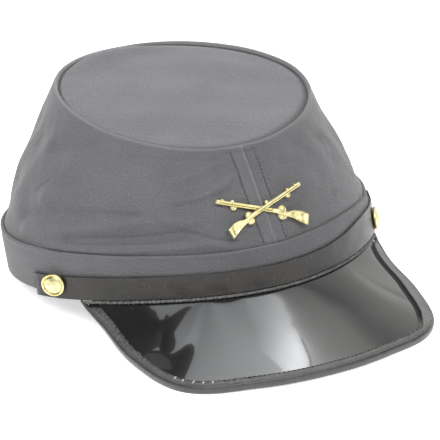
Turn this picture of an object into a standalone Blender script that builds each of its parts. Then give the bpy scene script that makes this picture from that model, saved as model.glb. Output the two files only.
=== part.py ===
"""A kepi: a low cloth forage cap with a sunk top, a head band, a vinyl strap and peak, and brass trim.

Every sub-part is worked out in the cap's own frame, where the band stands upright round +Z, the
peak points along -Y and the wearer's right is -X.  The parent empty then leans the cap back until
it rests on the corners of its peak and the back of its band, as it does on a table.
Angles round the cap run from 0 at the middle of the front, positive towards the wearer's left.
"""

from collections import namedtuple
from math import atan2, cos, exp, pi, radians, sin, tan

import bmesh
import bpy
from mathutils import Matrix, Vector

MM = 0.001

# Resting place: the whole cap leans back on its peak, and its box stands centred on the origin.
REST_LEAN = radians(7.2)
REST_SHIFT_BACK = 29.0 * MM
REST_SHIFT_LEFT = 0.1 * MM
FLOOR_BELOW_ORIGIN = 10.28 * MM

# Head band
STEPS_ROUND = 72
BAND_RADIUS = 94.4 * MM
BAND_OVAL = -0.051
BAND_SQUARE = 0.018
BAND_FLARE = -0.2 * MM
BAND_LEFT_BELOW = 1.0 * MM
BAND_RIGHT_ABOVE = 2.4 * MM
BAND_TOP_DIP = 5.7 * MM
BAND_TOP_DIP_AT = radians(76)
BAND_TOP_DIP_HALF = radians(26)
BAND_DENT = 0.9 * MM
BAND_DENT_AT = radians(73)
BAND_DENT_HALF = radians(9)
BAND_THICK = 2.0 * MM
TURNED_EDGE = 0.5 * MM
BACK_SETTLES_FROM = radians(120)
BACK_SETTLED_AT = radians(158)

# Crown
CLOTH_THICK = 1.7 * MM
HEM_DEPTH = 13.0 * MM
TIP_HALF_WIDTH = 66.0 * MM
TIP_HALF_LENGTH = 60.3 * MM
TIP_NARROWER_FRONT = -0.08
TIP_HEIGHT = 83.1 * MM
TIP_SETBACK = -7.9 * MM
TIP_SLOPE = radians(13.2)
TIP_SIDE_SLOPE = radians(-2.35)
RIM_OUT = 3.2 * MM
RIM_UP = 1.2 * MM
TIP_SAG_ENDS = 0.8 * MM
TIP_TWIST = 1.4 * MM
CROWN_BELLY = 1.5 * MM

# Strap
STRAP_THICK = 1.2 * MM
STRAP_PROUD = 0.4 * MM
STRAP_END = radians(78)
STRAP_RIDES_UP = 3.0 * MM
STRAP_RIDES_UP_AT = radians(49)
STRAP_RIDES_UP_HALF = radians(17)
STRAP_STEPS = 32

# Peak, its welt and its binding
PEAK_END = radians(58.5)
PEAK_STEPS = 48
PEAK_THICK = 1.6 * MM
PEAK_FULL_REACH = 50 * MM
PEAK_HOLLOW = 2.8 * MM
PEAK_HOLLOW_SKEW = 0.8
FLANGE_HEIGHT = 6.0 * MM
PEAK_BELOW_STRAP = 2.0 * MM
WELT_RADIUS = 0.7 * MM
WELT_END = radians(56.5)
WELT_OUT = 1.6 * MM
BINDING_WIDTH = 5.5 * MM
BINDING_THICK = 0.9 * MM
BINDING_FROM_SEAM = 1.4 * MM
BINDING_GAP = 0.5 * MM

# Buttons, each on a shank through the strap and the band
BUTTON_RADIUS = 6.1 * MM
BUTTON_RIM_HEIGHT = 1.1 * MM
BUTTON_RIM_WIDTH = 1.1 * MM
BUTTON_DOME = 1.3 * MM
BUTTON_STEPS = 28
Button = namedtuple("Button", "angle_deg turn_deg raised standing_off")
BUTTONS = {
    "button_right": Button(-69.2, 18, 2.4, 2.1),
    "button_left": Button(63.0, 0, -1.5, 0.4),
}
STAR_OUTER = 3.7 * MM
STAR_INNER = 1.5 * MM
STAR_RISE = 0.5 * MM
SHANK_RADIUS = 1.2 * MM
SHANK_LENGTH = 6.4 * MM
SHANK_HOLE = 1.6 * MM

# Badge: two rifles in one flat casting, on a stud through the front of the crown
BADGE_ANGLE = radians(1.5)
BADGE_HEIGHT = 0.37
BADGE_OFF_CLOTH = 0.6 * MM
STUD_RADIUS = 1.0 * MM
STUD_LENGTH = 3.4 * MM
STUD_HOLE = 1.4 * MM
CHAMFER = 0.35 * MM

GAP = 0.3 * MM
INSIDE_BAND = BAND_THICK + 1.2 * GAP

# Height of each edge round the band, in millimetres, as a mean and its waves round the cap.
Edge = namedtuple("Edge", "mean cos1 cos2 cos3 sin1 sin2")
EDGES = {
    "band_bottom": Edge(0.15, -0.35, 0.6, -0.35, 0.8, -0.5),
    "band_top": Edge(23.5, -0.75, 0.35, -0.65, 0.8, -0.55),
    "strap_bottom": Edge(-0.8, 0.9, 1.2, -0.4, 2.5, -1.8),
    "strap_top": Edge(11.4, 1.7, 0.3, -0.6, 3.3, -2.2),
}

# Outline of the peak: how far its edge stands out from the band, and how far it drops, in mm.
PeakEdge = namedtuple("PeakEdge", "angle_deg reach drop")
PEAK_EDGE = (
    PeakEdge(0, 57.2, 25.4),
    PeakEdge(14, 57.7, 25.0),
    PeakEdge(28, 56.7, 23.9),
    PeakEdge(40, 33.8, 17.9),
    PeakEdge(50, 13.1, 11.0),
    PeakEdge(60, 0.8, 3.6),
)

# Folds and swells of the crown's cloth; height is 0 at the band and 1 at the rim, depth in mm.
Fold = namedtuple("Fold", "angle_deg height half_angle_deg half_height slant_deg depth")
CROWN_FOLDS = (
    Fold(-115, 0.35, 40, 0.35, 0, 1.6),
    Fold(73, 0.14, 23, 0.04, 0, -0.6),
    Fold(89, 0.00, 22, 0.035, 0, 6.0),
    Fold(80, 0.81, 25, 0.20, 0, -2.1),
    Fold(130, 0.93, 28, 0.12, 0, 3.6),
    Fold(-48, 0.13, 18, 0.07, 0, -1.5),
    Fold(0, 0.45, 11, 0.45, 0, -1.2),
    Fold(22, 0.45, 11, 0.45, 0, 0.5),
    Fold(-22, 0.45, 11, 0.45, 0, 0.5),
)

# Side view of one rifle from its muzzle to its butt, in mm off the line of its barrel.
RifleEdge = namedtuple("RifleEdge", "along low high")
RIFLE_EDGES = (
    RifleEdge(0.0, -1.0, 1.0),
    RifleEdge(9.0, -1.1, 1.1),
    RifleEdge(32.0, -1.2, 1.2),
    RifleEdge(36.0, -1.5, 1.0),
    RifleEdge(39.0, -1.9, 0.6),
    RifleEdge(42.0, -2.4, 1.7),
    RifleEdge(46.0, -3.6, 2.0),
    RifleEdge(50.0, -4.8, 1.1),
)

# Round lobes that stand out of a rifle's top or under side; the back sight shows on the upper one.
Lobe = namedtuple("Lobe", "along off radius height")
TOP_LOBES = {
    "front_sight": Lobe(3.0, 1.0, 0.8, 1.5),
    "band_stud": Lobe(8.3, 1.1, 1.0, 1.7),
    "back_sight": Lobe(20.6, 1.7, 1.2, 1.5),
    "hammer": Lobe(35.5, 1.1, 2.2, 1.7),
}
UNDER_LOBES = {
    "sling_loop": Lobe(9.4, -1.5, 1.6, 1.4),
    "trigger_guard": Lobe(36.0, -1.4, 2.5, 1.5),
}

# Where each rifle lies on the badge: its middle turns about the crossing.
Rifle = namedtuple("Rifle", "turn_deg mirrored size crossing_along lift thick")
RIFLES = (
    Rifle(-19.6, False, 1.015, 24.8, 0.0, 1.7),
    Rifle(19.6, True, 0.936, 26.3, 0.7, 1.8),
)


def smooth_step(low, high, value):
    """0 below low, 1 above high, with an even ease between."""
    part = min(max((value - low) / (high - low), 0.0), 1.0)
    return part * part * (3.0 - 2.0 * part)


def bump(value, centre, half):
    """A smooth hump, 1 at its centre."""
    return exp(-(((value - centre) / half) ** 2))


def read_table(rows, column, value):
    """A smooth curve through one column of a table whose first column rises."""
    keys = [row[0] for row in rows]
    heights = [getattr(row, column) for row in rows]
    last = len(rows) - 1
    value = min(max(value, keys[0]), keys[last])
    low = max(i for i in range(last) if keys[i] <= value)
    span = keys[low + 1] - keys[low]
    part = (value - keys[low]) / span

    def slope(i):
        before, after = max(i - 1, 0), min(i + 1, last)
        if i == 0:
            return 0.0
        return (heights[after] - heights[before]) / (keys[after] - keys[before])

    start, end = heights[low], heights[low + 1]
    rise_in, rise_out = slope(low) * span, slope(low + 1) * span
    return (
        start * (1 + 2 * part) * (1 - part) ** 2
        + rise_in * part * (1 - part) ** 2
        + end * part * part * (3 - 2 * part)
        + rise_out * part * part * (part - 1)
    )


# ---- shape of the cap ----


def band_radius(angle):
    """Outer radius of the band at its lower edge, a rounded oval pushed a little to the left."""
    oval = BAND_RADIUS * (1 + BAND_OVAL * cos(2 * angle) + BAND_SQUARE * cos(4 * angle))
    return oval + BAND_LEFT_BELOW * sin(angle) - BAND_DENT * bump(angle, BAND_DENT_AT, BAND_DENT_HALF)


def band_flare(angle):
    """How much wider the soft band is at its top than below: it leans over to the right."""
    return BAND_FLARE - BAND_RIGHT_ABOVE * sin(angle)


def around(angle, radius, height):
    """A point of the cap's frame from an angle round it, a radius and a height."""
    return Vector((radius * sin(angle), -radius * cos(angle), height))


def edge_height(name, angle):
    edge = EDGES[name]
    height = edge.mean + edge.cos1 * cos(angle) + edge.cos2 * cos(2 * angle) + edge.cos3 * cos(3 * angle)
    return (height + edge.sin1 * sin(angle) + edge.sin2 * sin(2 * angle)) * MM


def floor_height(point):
    """Height of the resting surface under a point, in the cap's own frame."""
    return -FLOOR_BELOW_ORIGIN + point.y * tan(REST_LEAN)


def band_bottom(angle):
    """Lower edge of the band, whose back settles on the surface that the cap rests on."""
    free = edge_height("band_bottom", angle)
    floor = floor_height(around(angle, band_radius(angle) - TURNED_EDGE, 0.0))
    return free + (floor - free) * smooth_step(BACK_SETTLES_FROM, BACK_SETTLED_AT, abs(angle))


def band_top(angle):
    return edge_height("band_top", angle) - BAND_TOP_DIP * bump(angle, BAND_TOP_DIP_AT, BAND_TOP_DIP_HALF)


def strap_top(angle):
    """Upper edge of the strap, which has ridden up the band on the wearer's left."""
    lift = STRAP_RIDES_UP * bump(angle, STRAP_RIDES_UP_AT, STRAP_RIDES_UP_HALF)
    return edge_height("strap_top", angle) + lift


def band_point(angle, height, lift=0.0):
    """A point off the band's outer face."""
    low, high = edge_height("band_bottom", angle), band_top(angle)
    radius = band_radius(angle) + band_flare(angle) * (height - low) / (high - low)
    return around(angle, radius + lift, height)


def tip_point(angle, out=0.0, up=0.0, inward=1.0):
    """A point of the sloping tip: on its seam, out from it, up from it, or part of the way in."""
    across = (TIP_HALF_WIDTH + out) * sin(angle) * (1 + TIP_NARROWER_FRONT * cos(angle)) * inward
    along = -(TIP_HALF_LENGTH + out) * cos(angle) * inward
    up += (TIP_TWIST * sin(2 * angle) - TIP_SAG_ENDS * cos(2 * angle)) * inward * inward
    turn = Matrix.Rotation(TIP_SLOPE, 3, "X") @ Matrix.Rotation(-TIP_SIDE_SLOPE, 3, "Y")
    return turn @ Vector((across, along, up)) + Vector((0.0, TIP_SETBACK, TIP_HEIGHT))


def fold_depth(angle, height):
    """How far the crown's cloth stands out of its plain taper."""
    total = 0.0
    for fold in CROWN_FOLDS:
        centre = radians(fold.angle_deg + fold.slant_deg * (height - fold.height))
        turn = atan2(sin(angle - centre), cos(angle - centre))
        along = bump(turn, 0.0, radians(fold.half_angle_deg))
        total += fold.depth * MM * along * bump(height, fold.height, fold.half_height)
    return total


def crown_point(angle, height, lift=0.0):
    """A point on the crown's outer face: height 0 where it leaves the band, 1 at the rim."""
    low = around(angle, band_radius(angle) + band_flare(angle) - BAND_THICK - GAP, band_top(angle))
    high = tip_point(angle, RIM_OUT, -RIM_UP)
    rise = high - low
    outward = Vector((sin(angle), -cos(angle), 0.0))
    normal = (outward - rise * (outward.dot(rise) / rise.length_squared)).normalized()
    ease = sin(pi * min(max(height, 0.0), 1.0))
    return low + rise * height + normal * (CROWN_BELLY * ease + fold_depth(angle, height) * ease ** 0.5 + lift)


def peak_edge(angle):
    """Outer edge of the peak's sheet."""
    turn = abs(angle) * 180 / pi
    radius = band_radius(angle) + read_table(PEAK_EDGE, "reach", turn) * MM
    return around(angle, radius, edge_height("band_bottom", angle) - read_table(PEAK_EDGE, "drop", turn) * MM)


def peak_seam(angle):
    """Height of the peak's top face where it comes out from under the strap."""
    return edge_height("strap_bottom", angle) - PEAK_BELOW_STRAP


def peak_top(angle, part):
    """The peak's top face: part 0 at the welt and 1 at the outer edge."""
    start = around(angle, band_radius(angle) + WELT_OUT, peak_seam(angle))
    end = peak_edge(angle)
    size = min((end - start).length / PEAK_FULL_REACH, 1.0)
    hollow = PEAK_HOLLOW * size * sin(pi * part**PEAK_HOLLOW_SKEW)
    return start.lerp(end, part) - Vector((0.0, 0.0, hollow))


# ---- building helpers ----


def clear_scene():
    for item in list(bpy.data.objects):
        bpy.data.objects.remove(item, do_unlink=True)


def plain_material(name, colour, roughness, metallic=0.0):
    material = bpy.data.materials.new(name)
    material.use_nodes = True
    shader = material.node_tree.nodes["Principled BSDF"]
    shader.inputs["Base Color"].default_value = (*colour, 1.0)
    shader.inputs["Roughness"].default_value = roughness
    shader.inputs["Metallic"].default_value = metallic
    material.diffuse_color = (*colour, 1.0)
    return material


def add_object(name, bm, material, parent, smooth_angle=radians(40)):
    """Turn a bmesh into a named object under the cap's parent, with outward faces."""
    bmesh.ops.recalc_face_normals(bm, faces=bm.faces)
    mesh = bpy.data.meshes.new(name)
    bm.to_mesh(mesh)
    bm.free()
    if material:
        mesh.materials.append(material)
    mesh.shade_smooth()
    mesh.set_sharp_from_angle(angle=smooth_angle)
    item = bpy.data.objects.new(name, mesh)
    bpy.context.collection.objects.link(item)
    item.parent = parent
    return item


def loft(sections, closed):
    """A solid through sections, each one loop of points; closed joins the last to the first."""
    bm = bmesh.new()
    loops = [[bm.verts.new(point) for point in section] for section in sections]
    following = loops[1:] + loops[:1] if closed else loops[1:]
    for loop, after in zip(loops, following):
        for i in range(len(loop)):
            j = (i + 1) % len(loop)
            bm.faces.new((loop[i], loop[j], after[j], after[i]))
    if not closed:
        bm.faces.new(loops[0])
        bm.faces.new(loops[-1])
    return bm


def round_angles(count=STEPS_ROUND):
    return [2 * pi * i / count - pi for i in range(count)]


# ---- sub-parts ----


def build_band(material, parent):
    def section(angle):
        radius, low, high = band_radius(angle), band_bottom(angle), band_top(angle)
        edge, thick, flare = TURNED_EDGE, BAND_THICK, band_flare(angle)
        outline = (
            (radius - edge, low),
            (radius, low + edge),
            (radius + flare, high - edge),
            (radius + flare - edge, high),
            (radius + flare - thick + edge, high),
            (radius + flare - thick, high - edge),
            (radius - thick, low + edge),
            (radius - thick + edge, low),
        )
        return [around(angle, r, z) for r, z in outline]

    return add_object("band", loft([section(a) for a in round_angles()], True), material, parent)


def build_crown_side(material, parent):
    heights = (0.0, 0.04, 0.1, 0.2, 0.34, 0.5, 0.66, 0.82, 1.0)
    rim = ((RIM_OUT * 0.85, RIM_UP * 0.3), (RIM_OUT * 0.5, RIM_UP), (0.0, RIM_UP))

    def section(angle):
        hem_height = edge_height("band_top", angle) - HEM_DEPTH
        outer = [band_point(angle, hem_height, -INSIDE_BAND)]
        outer += [crown_point(angle, h) for h in heights]
        outer += [tip_point(angle, out, up) for out, up in rim]
        inner = [tip_point(angle, 0.0, RIM_UP - CLOTH_THICK)]
        inner += [tip_point(angle, RIM_OUT * 0.4, RIM_UP - CLOTH_THICK * 1.1)]
        inner += [crown_point(angle, h, -CLOTH_THICK) for h in reversed(heights[:-1])]
        inner += [band_point(angle, hem_height, -INSIDE_BAND - CLOTH_THICK)]
        return outer + inner

    return add_object("crown_side", loft([section(a) for a in round_angles()], True), material, parent)


def build_crown_top(material, parent):
    bm = bmesh.new()
    rings = (1.0, 0.85, 0.5)
    layers = []
    for up in (0.0, -CLOTH_THICK):
        loops = []
        for inward in rings:
            loop = [tip_point(a, -GAP, up, inward) for a in round_angles()]
            loops.append([bm.verts.new(point) for point in loop])
        centre = bm.verts.new(tip_point(0.0, 0.0, up, 0.0))
        for loop, after in zip(loops, loops[1:]):
            for i in range(STEPS_ROUND):
                j = (i + 1) % STEPS_ROUND
                bm.faces.new((loop[i], loop[j], after[j], after[i]))
        for i in range(STEPS_ROUND):
            bm.faces.new((loops[-1][i], loops[-1][(i + 1) % STEPS_ROUND], centre))
        layers.append(loops[0])
    for i in range(STEPS_ROUND):
        j = (i + 1) % STEPS_ROUND
        bm.faces.new((layers[0][i], layers[0][j], layers[1][j], layers[1][i]))
    return add_object("crown_top", bm, material, parent)


def build_strap(material, parent):
    def section(angle):
        low, high = edge_height("strap_bottom", angle), strap_top(angle)
        edge, face = STRAP_THICK * 0.35, STRAP_PROUD + STRAP_THICK
        outline = (
            (STRAP_PROUD, low),
            (face - edge, low),
            (face, low + edge),
            (face, high - edge),
            (face - edge, high),
            (STRAP_PROUD, high),
        )
        return [band_point(angle, z, off) for off, z in outline]

    sections = [section(STRAP_END * (2 * i / STRAP_STEPS - 1)) for i in range(STRAP_STEPS + 1)]
    return add_object("chin_strap", loft(sections, False), material, parent)


def peak_angles():
    return [PEAK_END * (2 * i / PEAK_STEPS - 1) for i in range(PEAK_STEPS + 1)]


def sheet_normal(angle, part):
    """The direction off the peak's top face, within the upright plane of this angle."""
    ahead = peak_top(angle, min(part + 0.05, 1.0)) - peak_top(angle, max(part - 0.05, 0.0))
    normal = Vector((cos(angle), sin(angle), 0.0)).cross(ahead).normalized()
    return normal if normal.z > 0 else -normal


def binding_inner(angle):
    """Where the binding ends on the sheet: it narrows where the peak runs in to the band."""
    along = peak_edge(angle + radians(0.5)) - peak_edge(angle - radians(0.5))
    ahead = peak_edge(angle) - peak_top(angle, 0.0)
    oblique = along.cross(ahead).length / (along.length * ahead.length)
    width = min(BINDING_WIDTH / oblique, ahead.length - BINDING_FROM_SEAM)
    return 1 - width / ahead.length, ahead.cross(along).cross(-along).normalized()


def build_peak(material, parent):
    parts = (0.0, 0.2, 0.4, 0.6, 0.8, 1.0)

    def section(angle):
        seam, top = peak_seam(angle), edge_height("band_bottom", angle) + FLANGE_HEIGHT
        upper = [band_point(angle, z, -INSIDE_BAND) for z in (top, seam + 0.9 * MM)]
        lower = [band_point(angle, z, -INSIDE_BAND - PEAK_THICK) for z in (top, seam - 0.6 * MM)]
        for part in parts:
            upper.append(peak_top(angle, part))
            lower.append(peak_top(angle, part) - sheet_normal(angle, part) * PEAK_THICK)
        return upper + lower[::-1]

    return add_object("peak", loft([section(a) for a in peak_angles()], False), material, parent)


def build_binding(material, parent):
    outer, lip = BINDING_GAP + BINDING_THICK, GAP + BINDING_THICK * 0.7

    def section(angle):
        start, outward = binding_inner(angle)
        parts = [start, (1 + start) / 2, 1.0]
        normals = [sheet_normal(angle, part) for part in parts]

        def leg(off):
            return [peak_top(angle, part) + normal * off for part, normal in zip(parts, normals)]

        above, below = leg(outer), leg(-PEAK_THICK - outer)[::-1]
        rounded = [leg(off)[-1] + outward * lip for off in (outer * 0.3, -PEAK_THICK - outer * 0.3)]
        inside_below, inside_above = leg(-PEAK_THICK - BINDING_GAP), leg(BINDING_GAP)[::-1]
        inside_below[-1] += outward * GAP
        inside_above[0] += outward * GAP
        return above + rounded + below + inside_below + inside_above

    return add_object("peak_binding", loft([section(a) for a in peak_angles()], False), material, parent)


def build_welt(material, parent):
    curve = bpy.data.curves.new("peak_welt", "CURVE")
    curve.dimensions = "3D"
    curve.bevel_depth = WELT_RADIUS
    curve.bevel_resolution = 1
    curve.use_fill_caps = True
    count = 46
    spline = curve.splines.new("POLY")
    spline.points.add(count)
    for i, point in enumerate(spline.points):
        angle = WELT_END * (2 * i / count - 1)
        height = peak_seam(angle) + WELT_RADIUS + GAP
        point.co = (*around(angle, band_radius(angle) + WELT_OUT, height), 1.0)
    curve.materials.append(material)
    item = bpy.data.objects.new("peak_welt", curve)
    bpy.context.collection.objects.link(item)
    item.parent = parent
    return item


def hide_cutter(item):
    item.hide_render = True
    item.display_type = "WIRE"


def combine(item, other, operation):
    """Add or cut another closed shape with an exact Boolean."""
    modifier = item.modifiers.new(other.name, "BOOLEAN")
    modifier.operation = operation
    modifier.solver = "EXACT"
    modifier.object = other
    hide_cutter(other)


def facing(position, outward, upright=Vector((0.0, 0.0, 1.0))):
    """A placing whose Z points outward and whose Y is as near upright as it can be."""
    z_axis = outward.normalized()
    x_axis = upright.cross(z_axis).normalized()
    y_axis = z_axis.cross(x_axis)
    placing = Matrix((x_axis, y_axis, z_axis)).transposed().to_4x4()
    placing.translation = position
    return placing


def build_cutter(name, radius, length, placing, parent):
    bm = bmesh.new()
    bmesh.ops.create_cone(
        bm, cap_ends=True, segments=12, radius1=radius, radius2=radius, depth=length, matrix=placing
    )
    item = add_object(name, bm, None, parent)
    hide_cutter(item)
    return item


def dome_height(radius):
    """Height of the button's face above its back, inside the rim."""
    inside = BUTTON_RADIUS - BUTTON_RIM_WIDTH
    return BUTTON_RIM_HEIGHT * 0.8 + BUTTON_DOME * (1 - (radius / inside) ** 2)


def build_star(name, placing, parent):
    """The five-pointed star that the button's dome carries, each arm ridged."""
    bm = bmesh.new()
    corners = []
    for i in range(10):
        radius = STAR_OUTER if i % 2 == 0 else STAR_INNER
        angle = pi / 2 + 2 * pi * i / 10
        corners.append((radius * cos(angle), radius * sin(angle), dome_height(radius)))
    low = [bm.verts.new((x, y, z - STAR_RISE)) for x, y, z in corners]
    high = [bm.verts.new((x, y, z + STAR_RISE * 0.3)) for x, y, z in corners]
    apex = bm.verts.new((0.0, 0.0, dome_height(0.0) + STAR_RISE))
    bm.faces.new(low)
    for i in range(10):
        j = (i + 1) % 10
        bm.faces.new((low[i], low[j], high[j], high[i]))
        bm.faces.new((high[i], high[j], apex))
    item = add_object(name + "_star", bm, None, parent, radians(10))
    item.matrix_local = placing
    return item


def build_button(name, material, parent):
    """A domed button with a raised rim, turned round its own axis together with its shank."""
    rim_inside = BUTTON_RADIUS - BUTTON_RIM_WIDTH
    profile = [
        (0.0, -SHANK_LENGTH),
        (SHANK_RADIUS, -SHANK_LENGTH),
        (SHANK_RADIUS, 0.0),
        (BUTTON_RADIUS * 0.94, 0.0),
        (BUTTON_RADIUS, BUTTON_RIM_HEIGHT * 0.4),
        (BUTTON_RADIUS, BUTTON_RIM_HEIGHT * 0.8),
        (BUTTON_RADIUS - BUTTON_RIM_WIDTH * 0.45, BUTTON_RIM_HEIGHT * 1.15),
        (rim_inside, dome_height(rim_inside)),
    ]
    profile += [(rim_inside * part, dome_height(rim_inside * part)) for part in (0.75, 0.5, 0.25)]
    profile += [(0.0, dome_height(0.0))]
    bm = bmesh.new()
    verts = [bm.verts.new((r, 0.0, z)) for r, z in profile]
    edges = [bm.edges.new(pair) for pair in zip(verts, verts[1:])]
    bmesh.ops.spin(
        bm, geom=verts + edges, cent=(0, 0, 0), axis=(0, 0, 1), angle=2 * pi, steps=BUTTON_STEPS,
        use_merge=True, use_duplicate=False,
    )
    bmesh.ops.remove_doubles(bm, verts=bm.verts, dist=0.00001)
    item = add_object(name, bm, material, parent)

    button = BUTTONS[name]
    angle = radians(button.angle_deg)
    height = (edge_height("strap_bottom", angle) + strap_top(angle)) / 2 + button.raised * MM
    here = band_point(angle, height)
    across = band_point(angle + 0.01, height) - here
    rising = band_point(angle, height + MM) - here
    normal = across.cross(rising).normalized()
    off_band = STRAP_PROUD + STRAP_THICK + button.standing_off * MM
    outward = Matrix.Rotation(radians(button.turn_deg), 3, "Z") @ normal
    placing = facing(here + normal * off_band, outward)
    item.matrix_local = placing
    combine(item, build_star(name, placing, parent), "UNION")
    return item, build_cutter(name + "_hole", SHANK_HOLE, 3 * SHANK_LENGTH, placing, parent)


def rifle_solid(rifle):
    """One rifle in the badge's own plane, its upper edges chamfered, as a bmesh."""
    sections = []
    for row in RIFLE_EDGES:
        low, high, chamfer = row.low * MM, row.high * MM, CHAMFER
        outline = (
            (low, 0.0),
            (high, 0.0),
            (high, rifle.thick * MM - chamfer),
            (high - chamfer, rifle.thick * MM),
            (low + chamfer, rifle.thick * MM),
            (low, rifle.thick * MM - chamfer),
        )
        sections.append([Vector((row.along * MM, off, up)) for off, up in outline])
    return loft(sections, False)


def lobe_solids(lobes):
    """A group of a rifle's lobes, which don't touch each other, as a bmesh."""
    bm = bmesh.new()
    for lobe in lobes:
        height = lobe.height * MM
        middle = Vector((lobe.along * MM, lobe.off * MM, height / 2 + 0.1 * MM))
        bmesh.ops.create_cone(
            bm, cap_ends=True, segments=12, radius1=lobe.radius * MM, radius2=lobe.radius * 0.7 * MM,
            depth=height, matrix=Matrix.Translation(middle),
        )
    return bm


def rifle_placing(rifle):
    """From a rifle's own plane, muzzle at the origin and butt along +X, to the badge's plane."""
    mirror = Matrix.Diagonal((-1.0, 1.0, 1.0, 1.0)) if rifle.mirrored else Matrix.Identity(4)
    turn = Matrix.Rotation(radians(rifle.turn_deg), 4, "Z")
    to_crossing = Matrix.Translation((-rifle.crossing_along * MM, 0.0, 0.0))
    lift = Matrix.Translation((0.0, 0.0, rifle.lift * MM))
    return lift @ turn @ mirror @ to_crossing @ Matrix.Diagonal((rifle.size, rifle.size, 1.0, 1.0))


def crown_placing(angle, height, lift):
    """A placing on the crown's face, Z straight off the cloth."""
    step = 0.001
    here = crown_point(angle, height)
    across = crown_point(angle + step, height) - here
    rising = crown_point(angle, height + step) - here
    normal = across.cross(rising).normalized()
    return facing(here + normal * lift, normal)


def build_badge(material, parent):
    placing = crown_placing(BADGE_ANGLE, BADGE_HEIGHT, BADGE_OFF_CLOTH)
    pieces = []
    for i, rifle in enumerate(RIFLES):
        top_lobes = [lobe for name, lobe in TOP_LOBES.items() if rifle.mirrored or name != "back_sight"]
        shapes = {
            "rifle": rifle_solid(rifle),
            "top_lobes": lobe_solids(top_lobes),
            "under_lobes": lobe_solids(UNDER_LOBES.values()),
        }
        for shape, bm in shapes.items():
            bmesh.ops.transform(bm, matrix=rifle_placing(rifle), verts=bm.verts)
            name = "crossed_rifles_badge" if not pieces else f"{shape}_{i}"
            pieces.append(add_object(name, bm, material, parent, radians(25)))
            pieces[-1].matrix_local = placing
    badge, others = pieces[0], pieces[1:]
    stud_bm = bmesh.new()
    middle = Matrix.Translation((0.0, 0.0, -STUD_LENGTH / 2 + 0.3 * MM))
    bmesh.ops.create_cone(
        stud_bm, cap_ends=True, segments=12, radius1=STUD_RADIUS, radius2=STUD_RADIUS,
        depth=STUD_LENGTH, matrix=middle,
    )
    stud = add_object("badge_stud", stud_bm, material, parent)
    stud.matrix_local = placing
    for other in others + [stud]:
        combine(badge, other, "UNION")
    return badge, build_cutter("badge_hole", STUD_HOLE, 4 * STUD_LENGTH, placing, parent)


def main():
    clear_scene()
    cap = bpy.data.objects.new("cap", None)
    bpy.context.collection.objects.link(cap)
    cap.rotation_euler = (-REST_LEAN, 0.0, 0.0)
    cap.location = (REST_SHIFT_LEFT, REST_SHIFT_BACK, FLOOR_BELOW_ORIGIN * cos(REST_LEAN))

    cloth = plain_material("grey_cloth", (0.16, 0.155, 0.16), 0.85)
    tip_cloth = plain_material("grey_cloth_top", (0.2, 0.2, 0.21), 0.85)
    vinyl = plain_material("strap_vinyl", (0.06, 0.055, 0.053), 0.35)
    patent = plain_material("peak_vinyl", (0.012, 0.012, 0.012), 0.1)
    edging = plain_material("edge_vinyl", (0.09, 0.085, 0.08), 0.45)
    brass = plain_material("brass", (0.83, 0.62, 0.2), 0.25, 1.0)

    crown_side = build_crown_side(cloth, cap)
    build_crown_top(tip_cloth, cap)
    band = build_band(cloth, cap)
    strap = build_strap(vinyl, cap)
    for name in BUTTONS:
        button, hole = build_button(name, brass, cap)
        combine(band, hole, "DIFFERENCE")
        combine(strap, hole, "DIFFERENCE")
    badge, hole = build_badge(brass, cap)
    combine(crown_side, hole, "DIFFERENCE")
    build_peak(patent, cap)
    build_binding(edging, cap)
    build_welt(edging, cap)


main()
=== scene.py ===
"""The looks of a kepi: grey twill cloth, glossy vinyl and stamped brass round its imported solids.

Every piece repeats the shape rules of the solid it stands for, in finer steps and with the folds,
puckers and stitches of the real materials, so it lies where its solid lies.
Angles round the cap run from 0 at the middle of the front, positive towards the wearer's left; the
peak points along -Y.  Shapes are worked out in the cap's own frame, where the band stands upright,
and then leant back with it as it rests.
"""

from collections import namedtuple
from math import cos, pi, radians, sin, tan

import bpy
import numpy as np
from mathutils import Matrix, Vector

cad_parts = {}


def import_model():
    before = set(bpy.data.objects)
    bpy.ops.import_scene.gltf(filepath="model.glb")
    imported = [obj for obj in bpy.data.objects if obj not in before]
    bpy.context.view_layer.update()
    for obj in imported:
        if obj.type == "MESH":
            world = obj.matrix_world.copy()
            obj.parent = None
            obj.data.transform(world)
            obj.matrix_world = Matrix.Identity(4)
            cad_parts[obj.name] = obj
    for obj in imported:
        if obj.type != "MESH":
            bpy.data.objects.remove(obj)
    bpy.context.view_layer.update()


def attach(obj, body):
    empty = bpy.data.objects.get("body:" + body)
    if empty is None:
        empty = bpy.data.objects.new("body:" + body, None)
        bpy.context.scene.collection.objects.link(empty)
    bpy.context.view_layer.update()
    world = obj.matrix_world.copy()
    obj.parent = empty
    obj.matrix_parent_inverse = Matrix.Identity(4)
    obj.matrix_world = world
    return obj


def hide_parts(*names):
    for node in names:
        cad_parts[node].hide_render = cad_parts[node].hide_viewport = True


MM = 0.001

# Resting place of the cap, as in the solids
REST_LEAN = radians(7.2)
REST_SHIFT_BACK = 29.0 * MM
REST_SHIFT_LEFT = 0.1 * MM
FLOOR_BELOW_ORIGIN = 10.28 * MM

# Head band
BAND_RADIUS = 94.4 * MM
BAND_OVAL = -0.051
BAND_SQUARE = 0.018
BAND_FLARE = -0.2 * MM
BAND_LEFT_BELOW = 1.0 * MM
BAND_RIGHT_ABOVE = 2.4 * MM
BAND_TOP_DIP = 5.7 * MM
BAND_TOP_DIP_AT = radians(76)
BAND_TOP_DIP_HALF = radians(26)
BAND_DENT = 0.9 * MM
BAND_DENT_AT = radians(73)
BAND_DENT_HALF = radians(9)
BAND_THICK = 2.0 * MM
TURNED_EDGE = 0.5 * MM
BACK_SETTLES_FROM = radians(120)
BACK_SETTLED_AT = radians(158)
GAP = 0.3 * MM
INSIDE_BAND = BAND_THICK + 1.2 * GAP

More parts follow.
